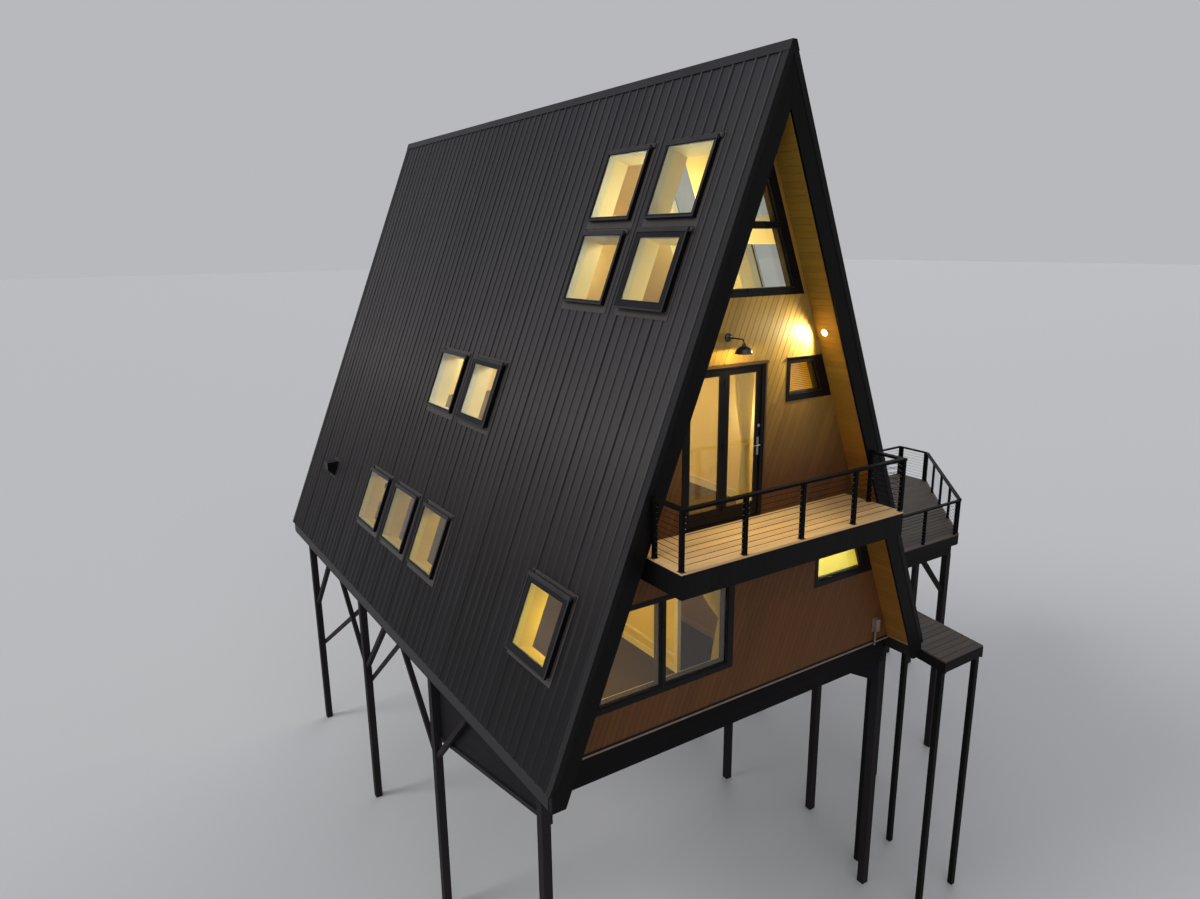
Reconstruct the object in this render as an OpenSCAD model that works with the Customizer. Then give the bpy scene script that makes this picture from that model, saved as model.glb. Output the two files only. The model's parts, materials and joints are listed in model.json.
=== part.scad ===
// A-frame cabin of three levels on posts, with a balcony, a side deck and a ramp.
// Millimetres. +Z is up, the gable runs along X and the ridge along Y.
// The house frame has x = 0 under the ridge, y = 0 at the face of the front
// rake boards and z = 0 at the lowest ground. Every node is then moved so that
// the origin lies at the bottom centre of the whole building.

/* [Levels] */
// Height of the main floor above the lowest ground
main_floor_z = 8650; // [8000:10:9200]
// Rise of the ridge above the main floor
ridge_rise = 6730; // [6600:10:6900]
// Main floor down to the lower floor
lower_storey = 2750; // [2650:10:2790]
// Main floor up to the loft floor
loft_storey = 2750; // [2600:10:2850]
// Thickness of the lower floor platform
platform_t = 280; // [220:10:320]
// Thickness of the main and loft floors
floor_t = 260; // [200:10:300]

/* [Roof] */
// Horizontal distance from the ridge to the plumb face of the eave
eave_x = 3920; // [3860:10:4000]
// Main floor down to where the roof surface meets the plumb face
eave_edge_drop = 2990; // [2970:10:3010]
// Length of the roof over the rake boards
roof_len = 13800; // [13000:50:14400]
// Thickness from roof sheet to soffit boards, square to the slope
roof_t = 326; // [290:2:340]
// Thickness of the soffit and ceiling boards
lining_t = 18; // [12:1:25]
// Thickness of the flat pans of the roof sheet
pan_t = 12; // [8:1:16]
// Distance from rib to rib
rib_pitch = 228.6; // [200:0.1:305]
// Height of a rib above the pan
rib_h = 20; // [15:1:30]
// Width of a rib at its foot
rib_foot = 62; // [50:1:80]
// Width of a rib at its top
rib_top = 26; // [18:1:34]
// Sheet past the plumb face of the eave
sheet_overhang = 30; // [10:5:50]
// Thickness of the rake boards
fascia_t = 40; // [30:1:50]
// Width of the metal edge trim on roof and rake board
trim_w = 105; // [80:5:140]
// Leg of the metal edge trim down the face of the rake board
trim_leg = 72; // [60:2:90]
// Thickness of the metal edge trim
trim_t = 8; // [5:1:12]
// Leg of the ridge cap down each slope
ridge_leg = 190; // [120:5:220]
// Half width of the flat along the top of the ridge cap
ridge_flat = 40; // [30:1:45]
// Thickness of the ridge cap
ridge_cap_t = 6; // [4:1:10]

/* [Skylights] */
// Outer width of a skylight frame along the ridge
sky_w = 1150; // [1100:5:1200]
// Outer height of a skylight frame down the slope
sky_h = 1170; // [1120:5:1220]
// Wall of the skylight frame
sky_wall = 48; // [35:1:60]
// Height of the skylight frame above the pan
sky_rise = 80; // [65:5:120]
// Width of the flat flashing beside and above the frame
sky_flash = 80; // [40:5:100]
// Length of the flashing below the frame
sky_apron = 120; // [80:5:150]
// Distance between skylight centres along the ridge
sky_pitch = 1565; // [1500:5:1620]
// Thickness of the roof glass
sky_glass_t = 24; // [16:1:32]
// Width of the opening sash of a venting skylight
sash_w = 100; // [80:1:120]

/* [Gable walls] */
// Recess of the walls behind the rake boards
wall_recess = 500; // [420:10:600]
// Thickness of the gable walls
wall_t = 165; // [120:5:200]
// Main floor down to the bottom of the siding
wall_drop = 3025; // [3000:5:3030]
// Depth of a window or door frame
frame_d = 95; // [70:5:120]
// Frame past the face of the siding
frame_proud = 20; // [5:1:35]
// Thickness of the window glass
glass_t = 24; // [12:1:32]
// Width of a plain frame member
frame_w = 75; // [55:1:90]
// Width of the sill member of a frame
sill_w = 100; // [80:1:120]
// Width of the mullions
mullion_w = 76; // [60:1:90]

/* [Loft window] */
// Main floor up to the bottom of the loft window
loft_win_z = 3366; // [3250:2:3450]
// Wood casing between the loft window and the soffit
casing_w = 72; // [50:1:90]
// Width of the sloping frame members
loft_frame_w = 138; // [110:1:150]
// Main floor up to the bottom of the cross bar
loft_bar_z = 4326; // [4200:2:4450]

/* [Balcony door] */
// Wall between the top left corner of the door frame and the soffit
door_clear = 10; // [6:1:40]
// Width over the door frame
door_w = 1570; // [1500:5:1650]
// Height over the door frame
door_h = 2413; // [2350:1:2420]
// Width of the door frame members
door_frame_w = 62; // [45:1:75]
// Width of the leaf stiles
stile_w = 82; // [65:1:100]
// Height of the bottom rail of a leaf
door_rail_h = 210; // [150:5:260]

/* [Small windows] */
// Height of both small windows
small_h = 673; // [620:1:690]
// Left edge of the main level window, right of the ridge
main_small_x = 635; // [560:5:700]
// Left edge of the lower window, right of the ridge
low_small_x = 1513; // [1450:1:1600]
// Main floor down to the top of the lower windows
low_win_top = 893; // [860:1:930]
// Width of the sloping member of a small window
slant_w = 170; // [140:1:180]

/* [Large lower window] */
// Right edge of the large window, left of the ridge
big_right = 295; // [250:5:350]
// Height of the large window
big_h = 1565; // [1500:5:1620]
// Width of its right frame member
big_jamb_w = 120; // [90:1:140]
// Centre of its mullion, left of the ridge
big_mullion_x = 1680; // [1600:5:1750]

/* [Back windows] */
// Width of the back windows at the main level
back_win_w = 1450; // [1200:10:1500]
// Height of the back window at the main level
back_win_h = 1500; // [1300:10:1550]

/* [Balcony] */
// Balcony left of the ridge
balcony_left = 2300; // [2200:10:2320]
// Balcony right of the ridge
balcony_right = 2140; // [2000:10:2320]
// Balcony in front of the rake boards
balcony_out = 675; // [600:5:800]
// Height of the balcony rim
balcony_rim_h = 350; // [300:5:400]
// Thickness of the deck boards
deck_t = 32; // [25:1:40]
// Thickness of a rim or joist
joist_w = 45; // [38:1:60]

/* [Railings] */
// Deck up to the top of the rail
rail_h = 860; // [820:5:1000]
// Width of a square railing post
rail_post = 58; // [45:1:70]
// Width of the top rail
rail_cap_w = 84; // [64:1:100]
// Thickness of the top rail
rail_cap_t = 38; // [25:1:45]
// Diameter of the cables
cable_d = 7; // [5:0.5:10]
// Number of cables in a panel
cable_n = 9; // [7:1:11]

/* [Posts and beams] */
// Distance from the ridge line to the post centres
post_x = 3680; // [3640:5:3720]
// First and last post rows from the faces of the rake boards
post_inset = 700; // [660:5:760]
// Side of a square post
post_w = 150; // [120:5:170]
// Depth of every beam under the platform
beam_h = 300; // [250:10:340]
// Knee brace along the beam
brace_run = 1550; // [1300:10:1700]
// Knee brace down the post
brace_drop = 1500; // [1300:10:1700]
// Side of a square knee brace
brace_w = 95; // [80:5:110]
// Low end of the rear long brace above the ground
long_brace_z = 2150; // [1900:10:2500]
// Low end of the middle long brace above the ground
mid_brace_z = 2950; // [2700:10:3200]
// Thickness of the skirt boards
skirt_t = 32; // [25:1:40]
// Height of the front skirt
front_skirt_h = 560; // [450:10:650]
// Foot of the side skirt at the front row above the ground
skirt_foot_front = 4620; // [4400:10:4800]
// Foot of the side skirt at the second row above the ground
skirt_foot_back = 3720; // [3500:10:4000]

/* [Side deck] */
// Main floor down to the side deck
side_deck_drop = 2800; // [2780:5:2850]
// Front edge of the side deck behind the rake boards
side_y0 = 2700; // [2600:10:2800]
// Depth of the side deck
side_depth = 4300; // [4100:10:4500]
// House side of the side deck, right of the ridge
side_x0 = 4010; // [4005:5:4050]
// Where the front edge turns, right of the ridge
side_x1 = 9000; // [8600:10:9300]
// Length along X and Y of the sloping corner
side_corner = 3300; // [3000:10:3500]
// Depth of the side deck joists
side_joist_h = 235; // [220:5:245]
// Depth of the side deck beams
side_beam_h = 270; // [240:5:300]
// Depth of the bearers that tie the side deck to the house
side_bearer_h = 160; // [120:5:200]
// First side deck posts from the house side of the deck
side_post_in = 500; // [450:10:560]
// Reach of the side deck braces
side_brace_reach = 900; // [800:10:1000]

/* [Ramp] */
// House side of the ramp, right of the ridge
ramp_x0 = 4040; // [4035:5:4100]
// Width of the ramp
ramp_w = 1150; // [1000:10:1300]
// Ramp past the rake boards to the front
ramp_out = 450; // [300:10:600]
// Main floor down to the foot of the ramp
ramp_foot_drop = 3300; // [3250:10:3350]
// Rise of the ramp
ramp_rise = 310; // [250:10:330]
// Depth of the ramp stringers
ramp_side_h = 200; // [180:5:240]

/* [Fittings] */
// Main floor up to the plate of the wall lamp
lamp_z = 2810; // [2700:5:2900]
// Wall lamp left of the ridge
lamp_x = 570; // [500:5:650]
// Reach of the lamp arm
lamp_reach = 350; // [300:5:380]
// Radius of the lamp shade
shade_r = 130; // [100:1:150]
// Roof hood centre behind the rake boards
hood_y = 11900; // [11600:10:12100]
// Roof hood centre down the slope
hood_v = 8600; // [8400:10:8800]
// Reach of the roof hood along its level top
hood_out = 290; // [260:5:330]
// Height of the plumb face of the roof hood
hood_face = 185; // [160:5:210]

/* [Hidden] */
$fn = 48;

// Heights above the lowest ground
ridge_z = main_floor_z + ridge_rise;
lower_floor_z = main_floor_z - lower_storey;
loft_floor_z = main_floor_z + loft_storey;
platform_z = main_floor_z - wall_drop - 5;
eave_edge_z = main_floor_z - eave_edge_drop;
wall_z = main_floor_z - wall_drop;
low_top_z = main_floor_z - low_win_top;
door_top_z = main_floor_z + door_h;
loft_z = main_floor_z + loft_win_z;
cross_z = platform_z - beam_h;
long_z = cross_z - beam_h;
// The roof slopes end on the long beams
eave_z = cross_z;
side_z = main_floor_z - side_deck_drop;
side_joist_z = side_z - deck_t - side_joist_h;
side_beam_z = side_joist_z - side_beam_h;

// Slope of the roof: the ridge half angle and its run for each unit of fall
run = eave_x / (ridge_z - eave_edge_z);
half_angle = atan(run);
slope_len = (ridge_z - eave_edge_z) / cos(half_angle);

// Half width under the ridge of a plane that lies off below the roof surface
function inner_x(z, off) = (ridge_z - z) * run - off / cos(half_angle);
// Height at which that plane meets the ridge plane
function inner_apex(off) = ridge_z - off / sin(half_angle);
// Height of that plane at a distance from the ridge
function inner_z(x, off) = ridge_z - (x + off / cos(half_angle)) / run;

// Left edge of the balcony door, left of the ridge
door_left = inner_x(door_top_z, roof_t) - door_clear;

// Span of the house between its walls
wall_front_y = wall_recess;
room_front_y = wall_recess + wall_t;
room_back_y = roof_len - wall_recess - wall_t;
wall_back_y = roof_len - wall_recess;
post_rows = [for (i = [0 : 3]) post_inset + i * (roof_len - 2 * post_inset) / 3];

// Skylight centres as [distance along the ridge, distance down the slope, venting]
pair_y = 1400;
middle_y = 5430;
triple_y = 5680;
top_v = 1860;
second_v = 3235;
middle_v = 5680;
low_v = 8640;
skylights = [[pair_y + sky_pitch, top_v, false], [pair_y, top_v, false],
             [pair_y + sky_pitch, second_v, false], [pair_y, second_v, true],
             [middle_y + sky_pitch, middle_v, false], [middle_y, middle_v, true],
             [triple_y + 2 * sky_pitch, low_v, false], [triple_y + sky_pitch, low_v, false],
             [triple_y, low_v, false], [pair_y, low_v, true]];

// Whole building in the house frame, for the origin at its bottom centre
joint_gap = 3;
sash_h = 25;
sash_lap = 8;
sash_over = 25;
ridge_over = 15;
side_x2 = side_x1 + side_corner;
side_y1 = side_y0 + side_depth;
rail_inset = 60;
x_low = -eave_x - sheet_overhang - rib_h * cos(half_angle);
x_high = side_x2;
y_low = -balcony_out;
y_high = roof_len + ridge_over;
center = [(x_low + x_high) / 2, (y_low + y_high) / 2];

// Places its children in the building's frame
module placed() { translate([-center[0], -center[1], 0]) children(); }

// An outline of [x, z] points, t thick along Y from y0
module gable_plate(y0, t, points) {
    translate([0, y0 + t, 0]) rotate([90, 0, 0]) linear_extrude(t) polygon(points);
}

// An outline of [y, z] points, t thick along X from x0
module side_plate(x0, t, points) {
    translate([x0, 0, 0]) rotate([90, 0, 90]) linear_extrude(t) polygon(points);
}

module box(low, high) { translate(low) cube(high - low); }

// Local frame of a roof slope: X runs down the slope, Y along the ridge, Z outward
module on_slope(side) {
    mirror([side == "left" ? 1 : 0, 0, 0])
        translate([0, 0, ridge_z]) rotate([0, 90 - half_angle, 0]) children();
}

// Underside of the flat of the ridge cap, and the level just below it where the slopes end
cap_z = ridge_z + (rib_h + ridge_cap_t) / sin(half_angle) - ridge_flat / run;
slope_top_z = cap_z - ridge_cap_t - 1;

// Outline of a layer of the roof slope between two depths below its surface
function layer_points(off1, off2) = let (z1 = inner_z(eave_x, off1))
    concat(inner_apex(off1) > slope_top_z ? [[0, slope_top_z], [inner_x(slope_top_z, off1), slope_top_z]]
                                          : [[0, inner_apex(off1)]],
           z1 > eave_z ? [[eave_x, z1], [eave_x, eave_z]] : [[inner_x(eave_z, off1), eave_z]],
           [[inner_x(eave_z, off2), eave_z], [0, inner_apex(off2)]]);

module slope_layer(side, off1, off2, y0, y1) {
    mirror([side == "left" ? 1 : 0, 0, 0]) gable_plate(y0, y1 - y0, layer_points(off1, off2));
}

// Square holes at the skylights, through the whole roof
module skylight_holes(grow) {
    for (s = skylights)
        translate([s[1], s[0], -roof_t / 2])
            cube([sky_h + 2 * grow, sky_w + 2 * grow, 3 * roof_t], center = true);
}

module roof_deck(side) {
    color([0.30, 0.27, 0.24]) difference() {
        slope_layer(side, pan_t, roof_t - lining_t, fascia_t, roof_len - fascia_t);
        on_slope(side) skylight_holes(-sky_wall);
    }
}

// Boards under the roof, down to the platform: ceiling inside, soffit under the two overhangs
module ceiling_boards() {
    color([0.72, 0.45, 0.16]) for (side = ["left", "right"]) difference() {
        slope_layer(side, roof_t - lining_t, roof_t, fascia_t, roof_len - fascia_t);
        on_slope(side) skylight_holes(-sky_wall);
        box([-joint_gap / 2, 0, main_floor_z], [joint_gap / 2, roof_len, ridge_z]);
        box([-eave_x - 1, 0, 0], [eave_x + 1, roof_len, platform_z]);
    }
}

// Ribbed sheet from near the ridge to past the eave, between the two edge trims
module roof_sheet(side) {
    y0 = trim_w;
    y1 = roof_len - trim_w;
    n = floor((y1 - y0 - rib_foot) / rib_pitch);
    first = y0 + (y1 - y0 - n * rib_pitch) / 2;
    start = ridge_leg / 3;
    ribs = [for (i = [0 : n]) for (p = [[-rib_foot / 2, 0], [-rib_top / 2, rib_h],
            [rib_top / 2, rib_h], [rib_foot / 2, 0]]) [first + i * rib_pitch + p[0], p[1]]];
    on_slope(side) difference() {
        translate([start, 0, 0]) rotate([90, 0, 90])
            linear_extrude(slope_len + sheet_overhang / sin(half_angle) - start)
                polygon(concat([[y0, -pan_t], [y0, 0]], ribs, [[y1, 0], [y1, -pan_t]]));
        skylight_holes(0);
        for (s = skylights) translate([s[1], s[0], 0])
            box([-sky_h / 2 - sky_flash, -sky_w / 2 - sky_flash, 0],
                [sky_h / 2 + sky_apron, sky_w / 2 + sky_flash, 2 * rib_h]);
        if (side == "left")
            translate([hood_v, hood_y, 0]) cube([hood_base, hood_base, 4 * rib_h], center = true);
    }
}

module roof_sheets() { color([0.13, 0.13, 0.14]) for (side = ["left", "right"]) roof_sheet(side); }

// Folded cap along the ridge, on the rib tops, with a narrow flat along its top
module ridge_cap() {
    h = rib_h + ridge_cap_t;
    low = ridge_leg * cos(half_angle);
    out = ridge_leg * sin(half_angle);
    z_in = cap_z - ridge_cap_t;
    flat_in = (ridge_z + rib_h / sin(half_angle) - z_in) * run;
    color([0.30, 0.31, 0.33]) gable_plate(-ridge_over, roof_len + 2 * ridge_over,
        [[-ridge_flat, cap_z], [ridge_flat, cap_z],
         [out + h * cos(half_angle), ridge_z - low + h * sin(half_angle)],
         [out + rib_h * cos(half_angle), ridge_z - low + rib_h * sin(half_angle)],
         [flat_in, z_in], [-flat_in, z_in],
         [-out - rib_h * cos(half_angle), ridge_z - low + rib_h * sin(half_angle)],
         [-out - h * cos(half_angle), ridge_z - low + h * sin(half_angle)]]);
}

// A pair of rake boards at each gable, with a fine joint at the ridge
module rake_boards() {
    color([0.10, 0.10, 0.11]) for (y0 = [0, roof_len - fascia_t]) for (m = [0, 1]) mirror([m, 0, 0])
        difference() {
            gable_plate(y0, fascia_t, layer_points(pan_t, roof_t));
            box([-1, y0 - 1, eave_z], [joint_gap / 2, y0 + fascia_t + 1, ridge_z]);
        }
}

// Angle trim along one rake: a flange on the roof edge and a leg on the board
module rake_trim(front) {
    len = slope_len + sheet_overhang / sin(half_angle);
    low = front ? -trim_t : roof_len - trim_w;
    leg = front ? -trim_t : roof_len;
    on_slope("right") difference() {
        union() {
            box([0, front ? 0 : low, -pan_t], [len, front ? trim_w : roof_len, rib_h]);
            box([0, leg, -trim_leg], [slope_len - trim_w / 3, leg + trim_t, rib_h]);
        }
    }
}

// Edge trims of the four rakes and the plumb boards of the two eaves
module edge_trim() {
    color([0.07, 0.07, 0.08]) for (m = [0, 1]) mirror([m, 0, 0]) {
        for (front = [true, false])
            difference() {
                rake_trim(front);
                box([-roof_t, -roof_len, eave_z], [joint_gap / 2, 2 * roof_len, ridge_z + roof_t]);
                box([-roof_t, -roof_len, slope_top_z], [roof_t, 2 * roof_len, ridge_z + roof_t]);
            }
        gable_plate(trim_w, roof_len - 2 * trim_w,
            [[eave_x, inner_z(eave_x, pan_t)], [eave_x + trim_t, inner_z(eave_x + trim_t, pan_t)],
             [eave_x + trim_t, eave_z], [eave_x, eave_z]]);
    }
}

// One skylight frame: flashing on the pan, upstand, and a wider sash where it opens
module skylight_frame(vent) {
    light = vent ? sash_w : sky_wall;
    well_top = vent ? sky_rise - sash_lap : 2 * sky_rise;
    difference() {
        union() {
            box([-sky_h / 2 - sky_flash, -sky_w / 2 - sky_flash, 0],
                [sky_h / 2 + sky_apron, sky_w / 2 + sky_flash, sash_lap]);
            box([-sky_h / 2, -sky_w / 2, -pan_t], [sky_h / 2, sky_w / 2, sky_rise]);
            if (vent) box([-sky_h / 2 - sash_over, -sky_w / 2 - sash_over, sky_rise - sash_lap],
                          [sky_h / 2 + sash_over, sky_w / 2 + sash_over, sky_rise + sash_h]);
        }
        box([-sky_h / 2 + sky_wall, -sky_w / 2 + sky_wall, -2 * pan_t],
            [sky_h / 2 - sky_wall, sky_w / 2 - sky_wall, well_top]);
        box([-sky_h / 2 + light, -sky_w / 2 + light, 0],
            [sky_h / 2 - light, sky_w / 2 - light, 2 * sky_rise]);
    }
}

module skylight_pane(vent) {
    inset = vent ? sash_w : sky_wall;
    top = (vent ? sky_rise + sash_h : sky_rise) - sash_lap;
    box([-sky_h / 2 + inset, -sky_w / 2 + inset, top - sky_glass_t],
        [sky_h / 2 - inset, sky_w / 2 - inset, top]);
}

module skylight_frames() {
    color([0.12, 0.12, 0.13]) for (side = ["left", "right"]) on_slope(side)
        for (s = skylights) translate([s[1], s[0], 0]) skylight_frame(s[2]);
}

module skylight_glass() {
    color([0.80, 0.86, 0.88, 0.4]) for (side = ["left", "right"]) on_slope(side)
        for (s = skylights) translate([s[1], s[0], 0]) skylight_pane(s[2]);
}

// Vent hood on the left slope: level top, plumb face and an open underside
hood_base = 480;
hood_w = 260;
hood_h = 340;
hood_t = 8;
hood_lift = 6;
module roof_hood() {
    x = hood_v * sin(half_angle) - run * hood_h / 2;
    z = ridge_z - hood_v * cos(half_angle) + hood_h / 2;
    skin = hood_t / cos(half_angle);
    color([0.06, 0.06, 0.07]) {
        on_slope("left") translate([hood_v, hood_y, (hood_lift - pan_t) / 2])
            cube([hood_base, hood_base, pan_t + hood_lift], center = true);
        mirror([1, 0, 0]) translate([x, 0, z]) difference() {
            gable_plate(hood_y - hood_w / 2, hood_w,
                [[0, 0], [hood_out, 0], [hood_out, -hood_face], [run * hood_h, -hood_h]]);
            gable_plate(hood_y - hood_w / 2 + hood_t, hood_w - 2 * hood_t,
                [[skin + run * hood_t, -hood_t], [hood_out - hood_t, -hood_t],
                 [hood_out - hood_t, -1.5 * hood_h], [skin + run * 1.5 * hood_h, -1.5 * hood_h]]);
        }
    }
}

// Upper gable wall band between the door head and the loft window
module front_wall_upper() {
    color([0.62, 0.37, 0.15]) gable_plate(wall_front_y, wall_t,
        [[-inner_x(door_top_z, roof_t), door_top_z], [inner_x(door_top_z, roof_t), door_top_z],
         [inner_x(loft_z, roof_t), loft_z], [-inner_x(loft_z, roof_t), loft_z]]);
}

// Wall left and right of the balcony door, with the small window cut at the soffit
module front_wall_middle() {
    z0 = main_floor_z;
    z1 = door_top_z;
    small_z = z1 - small_h;
    color([0.62, 0.37, 0.15]) {
        gable_plate(wall_front_y, wall_t,
            [[-inner_x(z0, roof_t), z0], [-door_left, z0], [-door_left, z1], [-inner_x(z1, roof_t), z1]]);
        gable_plate(wall_front_y, wall_t,
            [[door_w - door_left, z0], [inner_x(z0, roof_t), z0], [inner_x(small_z, roof_t), small_z],
             [main_small_x, small_z], [main_small_x, z1], [door_w - door_left, z1]]);
    }
}

// Wall between the lower windows and the balcony door
module front_wall_band() {
    color([0.60, 0.35, 0.15]) gable_plate(wall_front_y, wall_t,
        [[-inner_x(low_top_z, roof_t), low_top_z], [inner_x(low_top_z, roof_t), low_top_z],
         [inner_x(main_floor_z, roof_t), main_floor_z], [-inner_x(main_floor_z, roof_t), main_floor_z]]);
}

// Lower wall right of the large window, with the small window cut at the soffit
module front_wall_lower() {
    small_z = low_top_z - small_h;
    color([0.58, 0.33, 0.15]) gable_plate(wall_front_y, wall_t,
        [[-big_right, wall_z], [inner_x(wall_z, roof_t), wall_z], [inner_x(small_z, roof_t), small_z],
         [low_small_x, small_z], [low_small_x, low_top_z], [-big_right, low_top_z]]);
}

// Wall under the large lower window
module front_wall_sill() {
    sill_z = low_top_z - big_h;
    color([0.58, 0.33, 0.15]) gable_plate(wall_front_y, wall_t,
        [[-inner_x(wall_z, roof_t), wall_z], [-big_right, wall_z], [-big_right, sill_z],
         [-inner_x(sill_z, roof_t), sill_z]]);
}

// Wood casing strips between the loft windows and the soffits, front and back
module loft_casing() {
    off = roof_t + casing_w;
    color([0.62, 0.37, 0.15]) for (y = [wall_front_y, room_back_y]) for (m = [0, 1]) mirror([m, 0, 0])
        difference() {
            gable_plate(y, wall_t,
                [[inner_x(loft_z, off), loft_z], [inner_x(loft_z, roof_t), loft_z],
                 [0, inner_apex(roof_t)], [0, inner_apex(off)]]);
            box([-1, y - 1, loft_z], [joint_gap / 2, y + wall_t + 1, ridge_z]);
        }
}

// Depth range of window frames in the front wall, and of those in the back wall
frame_y_front = wall_front_y - frame_proud;
frame_y_back = wall_back_y + frame_proud - frame_d;

// Triangle frame with a cross bar
module loft_frame(y) {
    off = roof_t + casing_w;
    inner = off + loft_frame_w;
    z0 = loft_z + sill_w;
    z1 = main_floor_z + loft_bar_z;
    z2 = z1 + mullion_w;
    difference() {
        gable_plate(y, frame_d, [[-inner_x(loft_z, off), loft_z], [inner_x(loft_z, off), loft_z],
                                 [0, inner_apex(off)]]);
        gable_plate(y - 1, frame_d + 2, [[-inner_x(z0, inner), z0], [inner_x(z0, inner), z0],
                                         [inner_x(z1, inner), z1], [-inner_x(z1, inner), z1]]);
        gable_plate(y - 1, frame_d + 2, [[-inner_x(z2, inner), z2], [inner_x(z2, inner), z2],
                                         [0, inner_apex(inner)]]);
    }
}

module loft_panes(y) {
    inner = roof_t + casing_w + loft_frame_w;
    z0 = loft_z + sill_w;
    z1 = main_floor_z + loft_bar_z;
    z2 = z1 + mullion_w;
    gable_plate(y, glass_t, [[-inner_x(z0, inner), z0], [inner_x(z0, inner), z0],
                             [inner_x(z1, inner), z1], [-inner_x(z1, inner), z1]]);
    gable_plate(y, glass_t, [[-inner_x(z2, inner), z2], [inner_x(z2, inner), z2], [0, inner_apex(inner)]]);
}

// Outline of a window whose outer edge follows the soffit: x0 is its plumb edge
function small_outline(x0, z0, z1, jamb, head, foot, slant) =
    [[x0 + jamb, z0 + foot], [inner_x(z0 + foot, roof_t + slant), z0 + foot],
     [inner_x(z1 - head, roof_t + slant), z1 - head], [x0 + jamb, z1 - head]];

module small_frame(y, x0, z0, z1) {
    difference() {
        gable_plate(y, frame_d, small_outline(x0, z0, z1, 0, 0, 0, 0));
        gable_plate(y - 1, frame_d + 2, small_outline(x0, z0, z1, frame_w, frame_w, sill_w, slant_w));
    }
}

module small_pane(y, x0, z0, z1) {
    gable_plate(y, glass_t, small_outline(x0, z0, z1, frame_w, frame_w, sill_w, slant_w));
}

// Outline of one light of the large window between two distances left of the ridge
function big_outline(xr, xl, z0, z1) = [[-xr, z0], [-xl(z0), z0], [-xl(z1), z1], [-xr, z1]];

module big_frame(y) {
    z1 = low_top_z;
    z0 = z1 - big_h;
    a0 = z0 + sill_w;
    a1 = z1 - frame_w;
    m = mullion_w / 2;
    difference() {
        gable_plate(y, frame_d, [[-big_right, z0], [-inner_x(z0, roof_t), z0],
                                 [-inner_x(z1, roof_t), z1], [-big_right, z1]]);
        gable_plate(y - 1, frame_d + 2, [[-big_right - big_jamb_w, a0], [-big_mullion_x + m, a0],
                                         [-big_mullion_x + m, a1], [-big_right - big_jamb_w, a1]]);
        gable_plate(y - 1, frame_d + 2, [[-big_mullion_x - m, a0], [-inner_x(a0, roof_t + slant_w), a0],
                                         [-inner_x(a1, roof_t + slant_w), a1], [-big_mullion_x - m, a1]]);
    }
}

module big_panes(y) {
    a0 = low_top_z - big_h + sill_w;
    a1 = low_top_z - frame_w;
    m = mullion_w / 2;
    gable_plate(y, glass_t, [[-big_right - big_jamb_w, a0], [-big_mullion_x + m, a0],
                             [-big_mullion_x + m, a1], [-big_right - big_jamb_w, a1]]);
    gable_plate(y, glass_t, [[-big_mullion_x - m, a0], [-inner_x(a0, roof_t + slant_w), a0],
                             [-inner_x(a1, roof_t + slant_w), a1], [-big_mullion_x - m, a1]]);
}

// Glass lies in the middle of its frame
pane_y_front = frame_y_front + (frame_d - glass_t) / 2;
pane_y_back = frame_y_back + (frame_d - glass_t) / 2;

module front_window_frames() {
    color([0.05, 0.05, 0.055]) {
        loft_frame(frame_y_front);
        small_frame(frame_y_front, main_small_x, door_top_z - small_h, door_top_z);
        small_frame(frame_y_front, low_small_x, low_top_z - small_h, low_top_z);
        big_frame(frame_y_front);
    }
}

module front_window_glass() {
    color([0.80, 0.86, 0.88, 0.4]) {
        loft_panes(pane_y_front);
        small_pane(pane_y_front, main_small_x, door_top_z - small_h, door_top_z);
        small_pane(pane_y_front, low_small_x, low_top_z - small_h, low_top_z);
        big_panes(pane_y_front);
    }
}

// Balcony door: an outer frame and two glazed leaves
door_right = door_w - door_left;
leaf_mid = door_right - door_w / 2;
leaf_d = 45;
leaf_y = frame_y_front + (frame_d - leaf_d) / 2;
module door_frame() {
    color([0.05, 0.05, 0.055]) difference() {
        box([-door_left, frame_y_front, main_floor_z], [door_right, frame_y_front + frame_d, door_top_z]);
        box([-door_left + door_frame_w, frame_y_front - 1, main_floor_z + door_frame_w / 2],
            [door_right - door_frame_w, frame_y_front + frame_d + 1, door_top_z - door_frame_w]);
    }
}

leaf_z0 = main_floor_z + door_frame_w / 2;
leaf_z1 = door_top_z - door_frame_w;
// Left and right edges of the two leaves
leaves = [[-door_left + door_frame_w, leaf_mid - joint_gap / 2],
          [leaf_mid + joint_gap / 2, door_right - door_frame_w]];
module door_leaves() {
    color([0.06, 0.06, 0.065]) for (l = leaves) difference() {
        box([l[0], leaf_y, leaf_z0], [l[1], leaf_y + leaf_d, leaf_z1]);
        box([l[0] + stile_w, leaf_y - 1, leaf_z0 + door_rail_h],
            [l[1] - stile_w, leaf_y + leaf_d + 1, leaf_z1 - stile_w]);
    }
}

module door_glass() {
    y = leaf_y + (leaf_d - glass_t) / 2;
    color([0.80, 0.86, 0.88, 0.4]) for (l = leaves)
        box([l[0] + stile_w, y, leaf_z0 + door_rail_h], [l[1] - stile_w, y + glass_t, leaf_z1 - stile_w]);
}

// Back wall: a window over each other at the main and lower level
back_low_z0 = low_top_z - back_win_h;
back_up_z0 = door_top_z - back_win_h;
back_half = back_win_w / 2;
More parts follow.
